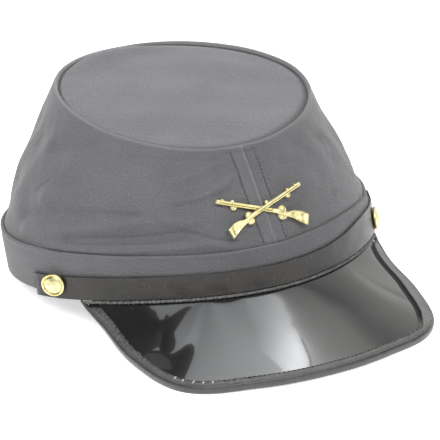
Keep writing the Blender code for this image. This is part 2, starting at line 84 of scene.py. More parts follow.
# Crown
CLOTH_THICK = 1.7 * MM
HEM_DEPTH = 13.0 * MM
TIP_HALF_WIDTH = 66.0 * MM
TIP_HALF_LENGTH = 60.3 * MM
TIP_NARROWER_FRONT = -0.08
TIP_HEIGHT = 83.1 * MM
TIP_SETBACK = -7.9 * MM
TIP_SLOPE = radians(13.2)
TIP_SIDE_SLOPE = radians(-2.35)
TIP_SAG_ENDS = 0.8 * MM
TIP_TWIST = 1.4 * MM
RIM_OUT = 3.2 * MM
RIM_UP = 1.2 * MM
CROWN_BELLY = 1.5 * MM
CROWN_RISE = 75.0 * MM

# Strap
STRAP_THICK = 1.2 * MM
STRAP_PROUD = 0.4 * MM
STRAP_END = radians(78)
STRAP_RIDES_UP = 3.0 * MM
STRAP_RIDES_UP_AT = radians(49)
STRAP_RIDES_UP_HALF = radians(17)

# Peak, its welt and its binding
PEAK_END = radians(58.5)
PEAK_THICK = 1.6 * MM
PEAK_FULL_REACH = 50 * MM
PEAK_HOLLOW = 2.8 * MM
PEAK_HOLLOW_SKEW = 0.8
FLANGE_HEIGHT = 6.0 * MM
PEAK_BELOW_STRAP = 2.0 * MM
WELT_RADIUS = 0.8 * MM
WELT_TUCKED = radians(61.5)
WELT_OUT = 1.6 * MM
BINDING_WIDTH = 5.5 * MM
BINDING_FROM_SEAM = 1.4 * MM

# Buttons and their stars
BUTTON_RADIUS = 6.1 * MM
BUTTON_RIM_HEIGHT = 1.1 * MM
BUTTON_RIM_WIDTH = 1.1 * MM
BUTTON_DOME = 1.3 * MM
BUTTON_FACE = 0.8 * BUTTON_RIM_HEIGHT
BUTTON_RIM_ROUND = 0.42 * BUTTON_RIM_HEIGHT
SHANK_RADIUS = 1.2 * MM
STAR_OUTER = 3.7 * MM
STAR_INNER = 1.5 * MM
STAR_STEP = 0.12 * MM
STAR_RIDGE = 0.15 * MM
Button = namedtuple("Button", "angle_deg turn_deg raised standing_off")
BUTTONS = {
    "button_right": Button(-69.2, 18, 2.4, 2.1),
    "button_left": Button(63.0, 0, -1.5, 0.4),
}

# Badge: where its middle lies on the crown
BADGE_ANGLE = radians(1.5)
BADGE_HEIGHT = 0.37
BADGE_OFF_CLOTH = 0.6 * MM

# Height of each edge round the band, in millimetres, as a mean and its waves round the cap.
Edge = namedtuple("Edge", "mean cos1 cos2 cos3 sin1 sin2")
EDGES = {
    "band_bottom": Edge(0.15, -0.35, 0.6, -0.35, 0.8, -0.5),
    "band_top": Edge(23.5, -0.75, 0.35, -0.65, 0.8, -0.55),
    "strap_bottom": Edge(-0.8, 0.9, 1.2, -0.4, 2.5, -1.8),
    "strap_top": Edge(11.4, 1.7, 0.3, -0.6, 3.3, -2.2),
}

# Outline of the peak: how far its edge stands out from the band, and how far it drops, in mm.
PeakEdge = namedtuple("PeakEdge", "angle_deg reach drop")
PEAK_EDGE = (
    PeakEdge(0, 57.2, 25.4),
    PeakEdge(14, 57.7, 25.0),
    PeakEdge(28, 56.7, 23.9),
    PeakEdge(40, 33.8, 17.9),
    PeakEdge(50, 13.1, 11.0),
    PeakEdge(60, 0.8, 3.6),
)

# Folds and swells of the crown's cloth; height is 0 at the band and 1 at the rim, depth in mm.
Fold = namedtuple("Fold", "angle_deg height half_angle_deg half_height depth")
CROWN_FOLDS = (
    Fold(-115, 0.35, 40, 0.35, 1.6),
    Fold(73, 0.14, 23, 0.04, -0.6),
    Fold(89, 0.00, 22, 0.035, 6.0),
    Fold(80, 0.81, 25, 0.20, -2.1),
    Fold(130, 0.93, 28, 0.12, 3.6),
    Fold(-48, 0.13, 18, 0.07, -1.5),
    Fold(0, 0.45, 11, 0.45, -1.2),
    Fold(22, 0.45, 11, 0.45, 0.5),
    Fold(-22, 0.45, 11, 0.45, 0.5),
)
# Smaller creases that only the cloth shows: the line each follows, in degrees round the cap and
# height, how far it spreads either side of that line and how far it stands out (or in), in mm.
Crease = namedtuple("Crease", "line spread depth")
CREASES = (
    Crease(((-66, 0.09), (-61, 0.10), (-48, 0.125), (-35, 0.155), (-28, 0.19)), 4.2, -3.6),
    Crease(((-70, 0.02), (-52, 0.04), (-38, 0.055), (-18, 0.08), (-13, 0.045)), 2.8, 2.6),
    Crease(((-24.5, 0.21), (-16.5, 0.13), (-9.5, 0.09)), 1.5, -1.2),
    Crease(((-84, 0.10), (-70, 0.16), (-56, 0.23), (-39, 0.33), (-26, 0.30)), 4.0, 2.0),
    Crease(((-88, 0.20), (-72, 0.31), (-55, 0.36), (-44, 0.37)), 3.4, -1.8),
    Crease(((-80, 0.37), (-61, 0.54)), 4.0, 1.4),
    Crease(((-86, 0.74), (-74, 0.84), (-65, 0.93)), 3.6, -1.7),
    Crease(((-74, 0.70), (-62, 0.80)), 3.0, 0.8),
    Crease(((-86, 0.41), (-81, 0.53)), 0.8, -0.9),
    Crease(((-46, 0.92), (-28, 0.945), (-13, 0.95)), 2.2, -1.0),
    Crease(((-5, 0.78), (-13, 0.66), (-22, 0.56), (-30, 0.52)), 2.2, 1.2),
    Crease(((-12, 0.92), (-22, 0.80), (-34, 0.69)), 3.0, 1.0),
    Crease(((-9.5, 0.64), (-13, 0.59)), 1.3, -0.8),
    Crease(((10.5, 0.96), (26, 0.88), (48, 0.77)), 4.0, -0.9),
    Crease(((14, 0.87), (30, 0.76), (48, 0.62)), 4.0, 0.7),
    Crease(((17, 0.755), (25.5, 0.70)), 2.3, -0.5),
    Crease(((13, 0.31), (25, 0.28), (37, 0.245)), 3.8, -0.7),
    Crease(((16, 0.14), (32, 0.075), (50, 0.01)), 4.4, 1.1),
    Crease(((-112, 0.76), (-100, 0.73)), 6.0, -0.8),
    Crease(((-104, 0.37), (-92, 0.36)), 5.0, -0.6),
    Crease(((-118, 0.12), (-92, 0.09)), 5.0, -0.7),
)
# A degree round the cap, and the whole height of the crown's side, in mm along its cloth.
CREASE_SCALE = np.array((1.4, CROWN_RISE / MM))

# The front seam of the crown: where it runs, and its two rows of stitches.
SEAM_FOOT = radians(3.9)
SEAM_TOP = radians(-0.2)
SEAM_ROWS_OFF = 6.4 * MM
STITCH_PITCH = 2.9 * MM
STITCH_LENGTH = 2.0 * MM
STITCH_RADIUS = 0.24 * MM
STITCHES_FROM = 1.6 * MM
STITCHES_TO = 74.6 * MM


# ---- shape rules ----


def smooth_step(low, high, value):
    part = np.clip((value - low) / (high - low), 0.0, 1.0)
    return part * part * (3.0 - 2.0 * part)


def bump(value, centre, half):
    return np.exp(-(((value - centre) / half) ** 2))


def turn_between(angle, centre):
    """The angle from centre, within half a turn either way."""
    return np.arctan2(np.sin(angle - centre), np.cos(angle - centre))


def read_table(rows, column, value):
    """A smooth curve through one column of a table whose first column rises."""
    keys = np.array([row[0] for row in rows], float)
    heights = np.array([getattr(row, column) for row in rows], float)
    slopes = np.zeros_like(keys)
    slopes[1:-1] = (heights[2:] - heights[:-2]) / (keys[2:] - keys[:-2])
    slopes[-1] = (heights[-1] - heights[-2]) / (keys[-1] - keys[-2])
    value = np.clip(value, keys[0], keys[-1])
    low = np.clip(np.searchsorted(keys, value, side="right") - 1, 0, len(keys) - 2)
    span = keys[low + 1] - keys[low]
    part = (value - keys[low]) / span
    return (
        heights[low] * (1 + 2 * part) * (1 - part) ** 2
        + slopes[low] * span * part * (1 - part) ** 2
        + heights[low + 1] * part * part * (3 - 2 * part)
        + slopes[low + 1] * span * part * part * (part - 1)
    )


def around(angle, radius, height):
    angle, radius, height = np.broadcast_arrays(angle, radius, height)
    return np.stack([radius * np.sin(angle), -radius * np.cos(angle), height], axis=-1)


def unit(vectors):
    return vectors / np.linalg.norm(vectors, axis=-1, keepdims=True)


def band_radius(angle):
    oval = BAND_RADIUS * (1 + BAND_OVAL * np.cos(2 * angle) + BAND_SQUARE * np.cos(4 * angle))
    return oval + BAND_LEFT_BELOW * np.sin(angle) - BAND_DENT * bump(angle, BAND_DENT_AT, BAND_DENT_HALF)


def band_flare(angle):
    return BAND_FLARE - BAND_RIGHT_ABOVE * np.sin(angle)


def edge_height(name, angle):
    edge = EDGES[name]
    height = edge.mean + edge.cos1 * np.cos(angle) + edge.cos2 * np.cos(2 * angle)
    height = height + edge.cos3 * np.cos(3 * angle)
    return (height + edge.sin1 * np.sin(angle) + edge.sin2 * np.sin(2 * angle)) * MM


def band_bottom(angle):
    free = edge_height("band_bottom", angle)
    back = -(band_radius(angle) - TURNED_EDGE) * np.cos(angle)
    floor = back * tan(REST_LEAN) - FLOOR_BELOW_ORIGIN
    return free + (floor - free) * smooth_step(BACK_SETTLES_FROM, BACK_SETTLED_AT, np.abs(angle))


def band_top(angle):
    return edge_height("band_top", angle) - BAND_TOP_DIP * bump(angle, BAND_TOP_DIP_AT, BAND_TOP_DIP_HALF)


def strap_top(angle):
    lift = STRAP_RIDES_UP * bump(angle, STRAP_RIDES_UP_AT, STRAP_RIDES_UP_HALF)
    return edge_height("strap_top", angle) + lift


def band_point(angle, height, lift=0.0):
    low, high = edge_height("band_bottom", angle), band_top(angle)
    radius = band_radius(angle) + band_flare(angle) * (height - low) / (high - low)
    return around(angle, radius + lift, height)


def tip_point(angle, out=0.0, up=0.0, inward=1.0):
    angle, out, up, inward = np.broadcast_arrays(angle, out, up, inward)
    across = (TIP_HALF_WIDTH + out) * np.sin(angle) * (1 + TIP_NARROWER_FRONT * np.cos(angle)) * inward
    along = -(TIP_HALF_LENGTH + out) * np.cos(angle) * inward
    up = up + (TIP_TWIST * np.sin(2 * angle) - TIP_SAG_ENDS * np.cos(2 * angle)) * inward * inward
    turn = np.array(Matrix.Rotation(TIP_SLOPE, 3, "X") @ Matrix.Rotation(-TIP_SIDE_SLOPE, 3, "Y"))
    return np.stack([across, along, up], axis=-1) @ turn.T + np.array((0.0, TIP_SETBACK, TIP_HEIGHT))


def fold_depth(folds, angle, height):
    total = 0.0
    for fold in folds:
        turn = turn_between(angle, radians(fold.angle_deg)) / radians(fold.half_angle_deg)
        rise = (height - fold.height) / fold.half_height
        total = total + fold.depth * MM * np.exp(-turn * turn - rise * rise)
    return total


def crease_depth(angle, height):
    """How far the smaller creases push the cloth: each fades with the distance from its line."""
    total = 0.0
    for crease in CREASES:
        nearest = np.inf
        for start, end in zip(crease.line, crease.line[1:]):
            along = np.subtract(end, start) * CREASE_SCALE
            turn = np.degrees(turn_between(angle, radians(start[0]))) * CREASE_SCALE[0]
            rise = (height - start[1]) * CREASE_SCALE[1]
            part = np.clip((turn * along[0] + rise * along[1]) / (along @ along), 0.0, 1.0)
            nearest = np.minimum(nearest, np.hypot(turn - part * along[0], rise - part * along[1]))
        total = total + crease.depth * MM * bump(nearest, 0.0, crease.spread)
    return total


def crown_point(angle, height, lift=0.0):
    """A point on the crown's outer face: height 0 where it leaves the band, 1 at the rim."""
    height = np.asarray(height, float)[..., None]
    low = around(angle, band_radius(angle) + band_flare(angle) - BAND_THICK - GAP, band_top(angle))
    rise = tip_point(angle, RIM_OUT, -RIM_UP) - low
    outward = around(angle, 1.0, 0.0)
    level = (outward * rise).sum(-1, keepdims=True) / (rise * rise).sum(-1, keepdims=True)
    normal = unit(outward - rise * level)
    ease = np.sin(pi * np.clip(height, 0.0, 1.0))
    folds = fold_depth(CROWN_FOLDS, angle, height[..., 0])[..., None]
    lift = np.asarray(lift, float)[..., None]
    return low + rise * height + normal * (CROWN_BELLY * ease + folds * np.sqrt(np.abs(ease)) + lift)


def peak_edge(angle):
    turn = np.degrees(np.abs(angle))
    radius = band_radius(angle) + read_table(PEAK_EDGE, "reach", turn) * MM
    drop = read_table(PEAK_EDGE, "drop", turn) * MM
    return around(angle, radius, edge_height("band_bottom", angle) - drop)


def peak_seam(angle):
    return edge_height("strap_bottom", angle) - PEAK_BELOW_STRAP


def peak_top(angle, part):
    """The peak's top face: part 0 at the welt and 1 at the outer edge."""
    angle, part = np.broadcast_arrays(np.asarray(angle, float), part)
    start = around(angle, band_radius(angle) + WELT_OUT, peak_seam(angle))
    end = peak_edge(angle)
    size = np.minimum(np.linalg.norm(end - start, axis=-1) / PEAK_FULL_REACH, 1.0)
    point = start + (end - start) * part[..., None]
    point[..., 2] -= PEAK_HOLLOW * size * np.sin(pi * part**PEAK_HOLLOW_SKEW)
    return point


def sheet_normal(angle, part):
    """The direction off the peak's top face, within the upright plane of this angle."""
    ahead = peak_top(angle, np.minimum(part + 0.05, 1.0)) - peak_top(angle, np.maximum(part - 0.05, 0.0))
    side = np.stack([np.cos(angle), np.sin(angle), np.zeros_like(angle)], axis=-1)
    normal = unit(np.cross(np.broadcast_to(side, ahead.shape), ahead))
    return normal * np.where(normal[..., 2:] > 0, 1.0, -1.0)


# ---- roughness that repeats exactly on each run ----


def soft_waves(seed, count, turns, rises):
    """A smooth random field over angle and height, about -1 to 1, that closes round the cap."""
    rng = np.random.default_rng(seed)
    around_counts = rng.integers(turns[0], turns[1] + 1, count)
    up_counts = rng.uniform(rises[0], rises[1], count) * rng.choice((-1, 1), count)
    phases = rng.uniform(0, 2 * pi, count)

    def field(angle, height):
        total = 0.0
        for k, rise, phase in zip(around_counts, up_counts, phases):
            total = total + np.sin(k * angle + 2 * pi * rise * height + phase)
        return total / np.sqrt(count)

    return field


# ---- mesh helpers ----


def rest_matrix():
    place = Matrix.Translation((REST_SHIFT_LEFT, REST_SHIFT_BACK, FLOOR_BELOW_ORIGIN * cos(REST_LEAN)))
    return place @ Matrix.Rotation(-REST_LEAN, 4, "X")


def add_object(name, data):
    item = bpy.data.objects.new(name, data)
    bpy.context.scene.collection.objects.link(item)
    return item


def new_mesh(name, verts, faces, material):
    mesh = bpy.data.meshes.new(name)
    mesh.from_pydata(verts, [], faces)
    mesh.materials.append(material)
    return mesh


def mesh_piece(name, verts, faces, material, slot, replaces=(), corner_uv=None):
    """A mesh in the cap's frame, leant back with it, smooth and riding on the cap."""
    mesh = new_mesh(name, verts.reshape(-1, 3).tolist(), faces, material)
    mesh.transform(rest_matrix())
    if corner_uv is not None:
        layer = mesh.uv_layers.new(name="cloth")
        layer.uv.foreach_set("vector", corner_uv.astype(np.float32).ravel())
    mesh.shade_smooth()
    mesh.validate()
    item = add_object(name, mesh)
    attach(item, "root")
    if replaces:
        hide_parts(*replaces)
    return item


def painted_light_layer(piece, values):
    """How much painted highlight (to 1) or painted shade (to -1) each point of a cloth piece carries."""
    layer = piece.data.attributes.new("painted_light", "FLOAT", "POINT")
    layer.data.foreach_set("value", np.asarray(values, np.float32).ravel())


def grid_faces(rows, columns, wrap_rows, wrap_columns):
    """Quads of a grid of points, row by row; a wrapped side joins the last line to the first."""
    i, j = np.meshgrid(
        np.arange(rows if wrap_rows else rows - 1),
        np.arange(columns if wrap_columns else columns - 1),
        indexing="ij",
    )
    i, j = i.ravel(), j.ravel()
    i1, j1 = (i + 1) % rows, (j + 1) % columns
    quads = np.stack([i * columns + j, i * columns + j1, i1 * columns + j1, i1 * columns + j], axis=1)
    corners = np.stack([i, j, i, j + 1, i + 1, j + 1, i + 1, j], axis=1).reshape(-1, 4, 2)
    return quads, corners


def end_caps(start, rows, columns):
    """The two faces that close rows of loops, whose points are numbered from start."""
    first = list(range(start, start + columns))
    return [first[::-1], [spot + (rows - 1) * columns for spot in first]]


def loft(name, sections, material, slot, replaces=(), closed=False, uv=None, flip=False):
    """A closed solid through sections of points, each a loop; uv gives the two map values of each."""
    rows, columns = sections.shape[:2]
    quads, corners = grid_faces(rows, columns, closed, True)
    if flip:
        quads, corners = quads[:, ::-1], corners[:, ::-1]
    faces = quads.tolist()
    corner_uv = None
    if uv is not None:
        across, along = uv
        across = np.append(across, across[-1] + across[1] - across[0])
        along = np.append(along, along[-1])
        corner_uv = np.stack([across[corners[..., 0]], along[corners[..., 1]]], axis=-1).reshape(-1, 2)
    if not closed:
        faces += [cap[::-1] if flip else cap for cap in end_caps(0, rows, columns)]
        if corner_uv is not None:
            corner_uv = np.vstack([corner_uv, np.zeros((2 * columns, 2))])
    return mesh_piece(name, sections, faces, material, slot, replaces, corner_uv)


def capped_shapes(shapes):
    """Points and faces of closed shapes, each given as rows of loops."""
    verts, faces = [], []
    for sections in shapes:
        rows, columns = sections.shape[:2]
        faces += (grid_faces(rows, columns, False, True)[0] + len(verts)).tolist()
        faces += end_caps(len(verts), rows, columns)
        verts += sections.reshape(-1, 3).tolist()
    return np.array(verts), faces


def path_length(points):
    """Distance along rows of points, in mm, starting at 0."""
    steps = np.linalg.norm(np.diff(points, axis=0), axis=-1)
    return np.concatenate([[0.0], np.cumsum(steps)]) / MM


# A thread's sections from end to end: place along its half length, width and lift, in radii.
THREAD_RINGS = ((-1.0, 0.25, -0.6), (-0.8, 0.8, -0.1), (0.0, 1.0, 0.25), (0.8, 0.8, -0.1), (1.0, 0.25, -0.6))
THREAD_SIDES = 6


def thread_piece(name, runs, radius, material, slot):
    """Short lengths of thread, each a rounded rod between two points sunk at its ends."""
    turns = 2 * pi * np.arange(THREAD_SIDES) / THREAD_SIDES
    rods = []
    for start, end, up in runs:
        middle, half = (start + end) / 2, (end - start) / 2
        ring = np.outer(np.cos(turns), unit(np.cross(half, up))) + np.outer(np.sin(turns), up)
        rods.append(np.stack([
            middle + half * along + (ring * size + up * lift) * radius for along, size, lift in THREAD_RINGS
        ]))
    return mesh_piece(name, *capped_shapes(rods), material, slot)


# ---- materials ----


def node(tree, kind, inputs=(), **settings):
    """A shader node; inputs maps a socket's name or number to a number, a colour or an output."""
    made = tree.nodes.new(kind)
    for name, value in settings.items():
        setattr(made, name, value)
    for socket, value in dict(inputs).items():
        if isinstance(value, bpy.types.NodeSocket):
            tree.links.new(value, made.inputs[socket])
        else:
            made.inputs[socket].default_value = value
    return made


def principled(name, **values):
    """A material, its node tree and its shader, with the even values on the shader's own sockets."""
    material = bpy.data.materials.new(name)
    material.use_nodes = True
    tree = material.node_tree
    shader = tree.nodes["Principled BSDF"]
    for socket, value in values.items():
        shader.inputs[socket.replace("_", " ")].default_value = value
    return material, tree, shader


def feed(shader, **outputs):
    """Link outputs to the shader's own sockets."""
    for socket, output in outputs.items():
        shader.id_data.links.new(output, shader.inputs[socket.replace("_", " ")])


def object_place(tree):
    return node(tree, "ShaderNodeTexCoord").outputs["Object"]


def uv_place(tree, name):
    return node(tree, "ShaderNodeUVMap", uv_map=name).outputs[0]


def maths(tree, operation, first, second=0.0):
    return node(tree, "ShaderNodeMath", {0: first, 1: second}, operation=operation).outputs[0]


def times(tree, first, second):
    return maths(tree, "MULTIPLY", first, second)


def noise(tree, coords, scale, detail=2.0, roughness=0.5):
    inputs = {"Vector": coords, "Scale": scale, "Detail": detail, "Roughness": roughness}
    return node(tree, "ShaderNodeTexNoise", inputs).outputs["Fac"]


def ramp(tree, factor, low, high, to_low=0.0, to_high=1.0):
    """A factor spread from low..high to to_low..to_high, held at both ends."""
    inputs = {0: factor, 1: low, 2: high, 3: to_low, 4: to_high}
    return node(tree, "ShaderNodeMapRange", inputs).outputs[0]


def mix(tree, factor, first, second, blend_type="MIX"):
    made = node(tree, "ShaderNodeMix", {0: factor}, data_type="RGBA", blend_type=blend_type)
    for socket, value in ((made.inputs[6], first), (made.inputs[7], second)):
        if isinstance(value, bpy.types.NodeSocket):
            tree.links.new(value, socket)
        else:
            socket.default_value = value
    return made.outputs[2]


def bumped(tree, height, distance, normal=None, strength=1.0):
    inputs = {"Height": height, "Distance": distance, "Strength": strength}
    if normal is not None:
        inputs["Normal"] = normal
    return node(tree, "ShaderNodeBump", inputs).outputs["Normal"]


def crevice_shade(tree, reach, low, high):
    """A factor that is 1 deep in a crevice and 0 on an open face, used to paint shade into crevices."""
    open_part = node(tree, "ShaderNodeAmbientOcclusion", {"Distance": reach}, samples=12).outputs["AO"]
    return ramp(tree, open_part, low, high, 1.0, 0.0)


WHITE = (1.0, 1.0, 1.0, 1.0)


def grey(value, warm=0.0, cool=0.0):
    return (value * (1 + warm), value, value * (1 - warm + cool), 1.0)


def ribbed(tree, coords, angle, pitch, distortion):
    """Even ribs across a direction, 0 to 1; pitch in the units of coords."""
    turned = node(tree, "ShaderNodeVectorRotate", {"Vector": coords, "Angle": angle}, rotation_type="Z_AXIS")
    inputs = {"Vector": turned.outputs[0], "Scale": 2 * pi / pitch / 20, "Distortion": distortion}
    inputs.update({"Detail": 1.0, "Detail Scale": 3.0})
    return node(tree, "ShaderNodeTexWave", inputs).outputs["Fac"]


def twill(tree, coords, pitch, angle):
    """Diagonal ribs of a twill, 0 to 1, with the threads that cross them."""
    ribs = ribbed(tree, coords, angle, pitch, 0.8)
    threads = ribbed(tree, coords, angle + 1.1, pitch * 1.3, 1.0)
    return maths(tree, "ADD", times(tree, ribs, 0.55), times(tree, threads, 0.45))


def cloth_material(name, base, speckle, rib_angle, pitch=0.9):
    """Grey wool twill: ribs and threads, a fleck of lighter fibres, and slow patches of worn tone.

    A layer of its mesh carries painted light: a painted highlight makes it paler (above 0) and painted
    shade makes it darker (below 0); its crevices are painted darker as shade too.
    """
    material, tree, shader = principled(
        name, Roughness=0.92, Sheen_Weight=0.25, Sheen_Roughness=0.5, Specular_IOR_Level=0.25
    )
    uv, place = uv_place(tree, "cloth"), object_place(tree)
    ribs = twill(tree, uv, pitch, rib_angle)
    fibres = noise(tree, uv, 1.1, 4.0, 0.7)
    flecks = ramp(tree, noise(tree, uv, 0.9, 2.0, 0.7), 0.56, 0.74)
    patches = noise(tree, place, 30.0, 3.0, 0.55)
    dust = ramp(tree, noise(tree, place, 420.0, 1.0), 0.76, 0.84)
    dark, light = grey(base * (1 - speckle), 0.0, 0.04), grey(base * (1 + speckle), -0.01, 0.06)
    tone = mix(tree, ramp(tree, ribs, 0.15, 0.85), dark, light)
    tone = mix(tree, ramp(tree, fibres, 0.35, 0.68), mix(tree, 1.0, tone, grey(0.66), "MULTIPLY"), tone)
    tone = mix(tree, times(tree, flecks, 0.65), tone, grey(base * 1.6, 0.0, 0.02))
    tone = mix(tree, ramp(tree, patches, 0.3, 0.7), mix(tree, 1.0, tone, grey(0.84, 0.01), "MULTIPLY"), tone)
    tone = mix(tree, times(tree, dust, 0.18), tone, grey(0.42, 0.02))
    painted_light = node(tree, "ShaderNodeAttribute", attribute_name="painted_light").outputs["Fac"]
    # Painted highlight where the mesh's painted light layer is above 0.
    tone = mix(tree, ramp(tree, painted_light, 0.0, 1.0), tone, grey(base * 1.7, 0.0, 0.03))
    # Painted shade in crevices, from how closed in each spot is.
    tone = mix(tree, crevice_shade(tree, 3.0 * MM, 0.02, 0.3), tone, grey(base * 0.4))
    # Painted shade where that layer is below 0.
    tone = mix(tree, ramp(tree, painted_light, -1.0, 0.0, 1.0, 0.0), tone, grey(base * 0.2))
    feed(shader, Base_Color=tone, Normal=bumped(tree, fibres, 0.22 * MM, bumped(tree, ribs, 0.12 * MM)))
    return material


def strap_material():
    """Dark semi-gloss vinyl with a fine grain, soft creases and rubbed patches."""
    material, tree, shader = principled("strap_vinyl_look", Specular_IOR_Level=0.36)
    place = object_place(tree)
    grain = node(tree, "ShaderNodeTexVoronoi", {"Vector": place, "Scale": 1100.0}, feature="SMOOTH_F1")
    smudge = noise(tree, place, 45.0, 4.0, 0.6)
    fine = noise(tree, place, 700.0, 2.0)
    tone = mix(tree, ramp(tree, smudge, 0.3, 0.7), grey(0.019, 0.07), grey(0.031, 0.08))
    tone = mix(tree, ramp(tree, fine, 0.62, 0.75), tone, grey(0.065, 0.05))
    normal = bumped(tree, smudge, 0.15 * MM, bumped(tree, grain.outputs["Distance"], 0.04 * MM))
    feed(shader, Base_Color=tone, Roughness=ramp(tree, smudge, 0.3, 0.7, 0.31, 0.22), Normal=normal)
    return material


def patent_material():
    """Patent vinyl: near black under a clear coat, faintly rippled, with fine scuffs and a few specks."""
    material, tree, shader = principled(
        "peak_vinyl_look", Specular_IOR_Level=0.5, Coat_Weight=1.0, Coat_Roughness=0.03, Coat_IOR=1.6
    )
    place = object_place(tree)
    haze = noise(tree, place, 30.0, 4.0, 0.6)
    scuff = ramp(tree, noise(tree, place, 300.0, 6.0, 0.8), 0.60, 0.72)
    speck = ramp(tree, noise(tree, place, 900.0, 0.0), 0.86, 0.88)
    tone = mix(tree, ramp(tree, haze, 0.3, 0.7), grey(0.0105), grey(0.016, 0.0, 0.05))
    tone = mix(tree, times(tree, speck, 0.6), tone, grey(0.2))
    rough = maths(tree, "ADD", ramp(tree, haze, 0.3, 0.7, 0.10, 0.18), times(tree, scuff, 0.12))
    ripple = bumped(tree, noise(tree, place, 60.0, 2.0), 0.01 * MM)
    feed(shader, Base_Color=tone, Roughness=rough, Normal=ripple, Coat_Normal=ripple)
    return material


def edging_material():
    """The binding's vinyl: dark warm grey, half gloss, crackled where folded, with painted light: a painted
    highlight on its ridge, painted shade on its lip and a painted black shadow in its gaping edge.

    Its map says how far it gapes there (first) and which row of its profile it is (second).
    """
    material, tree, shader = principled(
        "edge_vinyl_look", Specular_IOR_Level=0.5, Coat_Weight=0.25, Coat_Roughness=0.22
    )
    place = object_place(tree)
    gape, row = node(tree, "ShaderNodeSeparateXYZ", {0: uv_place(tree, "cloth")}).outputs[:2]
    cloudy = noise(tree, place, 90.0, 4.0, 0.65)
    crackle = noise(tree, place, 620.0, 5.0, 0.75)
    tone = mix(tree, ramp(tree, cloudy, 0.3, 0.72), grey(0.055, 0.04), grey(0.095, 0.03))
    tone = mix(tree, ramp(tree, crackle, 0.58, 0.72), tone, grey(0.19, 0.02))
    tone = mix(tree, ramp(tree, crackle, 0.30, 0.42, 1.0, 0.0), tone, grey(0.02, 0.03))
    # Painted highlight along the stitched ridge row, moved inward where it gapes.
    ridge_row = maths(tree, "SUBTRACT", BINDING_RIDGE_ROW, times(tree, gape, 2.5))
    off_ridge = maths(tree, "ABSOLUTE", maths(tree, "SUBTRACT", row, ridge_row))
    tone = mix(tree, ramp(tree, off_ridge, 0.3, 1.2, 0.5, 0.0), tone, grey(0.17, 0.02))
    # Painted shade on the lip, which faces down, fading where it gapes.
    lip = ramp(tree, row, BINDING_LIP_ROW - 1.0, BINDING_LIP_ROW + 0.5, 0.0, 0.65)
    tone = mix(tree, times(tree, lip, ramp(tree, gape, 0.0, 1.0, 1.0, 0.1)), tone, grey(0.018, 0.03))
    # Painted light: the gaping side, which faces the light, painted paler.
    tone = mix(tree, times(tree, gape, 0.3), tone, grey(0.20, 0.02))
    # Painted black shadow on the rows that gape, in the gap under the lifted edge.
    gap_shadow = times(tree, gape, ramp(tree, row, BINDING_GAPE_ROWS - 0.6, BINDING_GAPE_ROWS, 1.0, 0.0))
    tone = mix(tree, gap_shadow, tone, grey(0.006))
    rough = maths(tree, "ADD", ramp(tree, crackle, 0.35, 0.7, 0.28, 0.5), gap_shadow)
    normal = bumped(tree, cloudy, 0.4 * MM, bumped(tree, crackle, 0.18 * MM))
    feed(shader, Base_Color=tone, Roughness=rough, Normal=normal)
    return material


def welt_material():
    """The welt's vinyl: dark, dull and scuffed pale in fine patches all over."""
    material, tree, shader = principled("welt_vinyl_look", Specular_IOR_Level=0.4)
    scuff = noise(tree, object_place(tree), 900.0, 4.0, 0.7)
    tone = mix(tree, ramp(tree, scuff, 0.42, 0.62), grey(0.05, 0.03), grey(0.16, 0.02))
    rough = ramp(tree, scuff, 0.3, 0.7, 0.40, 0.60)
    feed(shader, Base_Color=tone, Roughness=rough, Normal=bumped(tree, scuff, 0.15 * MM))
    return material


def brass_material():
    """Pale gilt brass, stamped and cloudy, with painted highlight and shade along edges and grooves and
    painted shade in nooks.
    """
    material, tree, shader = principled("brass_look", Metallic=1.0, Specular_IOR_Level=0.5)
    place = object_place(tree)
    cloudy = noise(tree, place, 300.0, 3.0, 0.6)
    pits = ramp(tree, noise(tree, place, 1800.0, 2.0), 0.62, 0.75)
    # It reads the other way round on faces wound inward, as the buttons' are and part of the badge's.
    edge = node(tree, "ShaderNodeNewGeometry").outputs["Pointiness"]
    tone = mix(tree, ramp(tree, cloudy, 0.3, 0.7), (0.75, 0.65, 0.29, 1.0), (0.93, 0.86, 0.50, 1.0))
    # Painted shade along grooves and painted highlight along edges, by pointiness (swapped on faces wound
    # inward).
    tone = mix(tree, ramp(tree, edge, 0.40, 0.49, 0.9, 0.0), tone, (0.42, 0.33, 0.09, 1.0))
    tone = mix(tree, ramp(tree, edge, 0.52, 0.60), tone, (1.0, 0.97, 0.74, 1.0))
    # Painted shade in nooks.
    tone = mix(tree, crevice_shade(tree, 0.8 * MM, 0.35, 0.9), tone, (0.26, 0.20, 0.06, 1.0))
    rough = maths(tree, "ADD", ramp(tree, cloudy, 0.3, 0.7, 0.34, 0.46), times(tree, pits, 0.10))
    feed(shader, Base_Color=tone, Roughness=rough, Normal=bumped(tree, cloudy, 0.05 * MM))
    return material


def thread_material(name, tone):
    material, tree, shader = principled(name, Roughness=0.7, Sheen_Weight=0.2)
    twist = noise(tree, object_place(tree), 2500.0, 2.0)
    colour = mix(tree, ramp(tree, twist, 0.3, 0.7), grey(tone * 0.7), grey(tone * 1.2))
    feed(shader, Base_Color=colour, Normal=bumped(tree, twist, 0.08 * MM))
    return material


def floor_material():
    material, tree, shader = principled("paper", Roughness=0.9, Emission_Strength=0.6)
    shader.inputs["Emission Color"].default_value = WHITE
    feed(shader, Base_Color=mix(tree, noise(tree, object_place(tree), 3.0, 4.0), grey(0.86), grey(0.88)))
    return material


# ---- crown ----

CROWN_COLUMNS = 520
CROWN_ROWS = 104
HEM_ROWS = 5
LIP_ROWS = 20
INNER_ROWS = 26

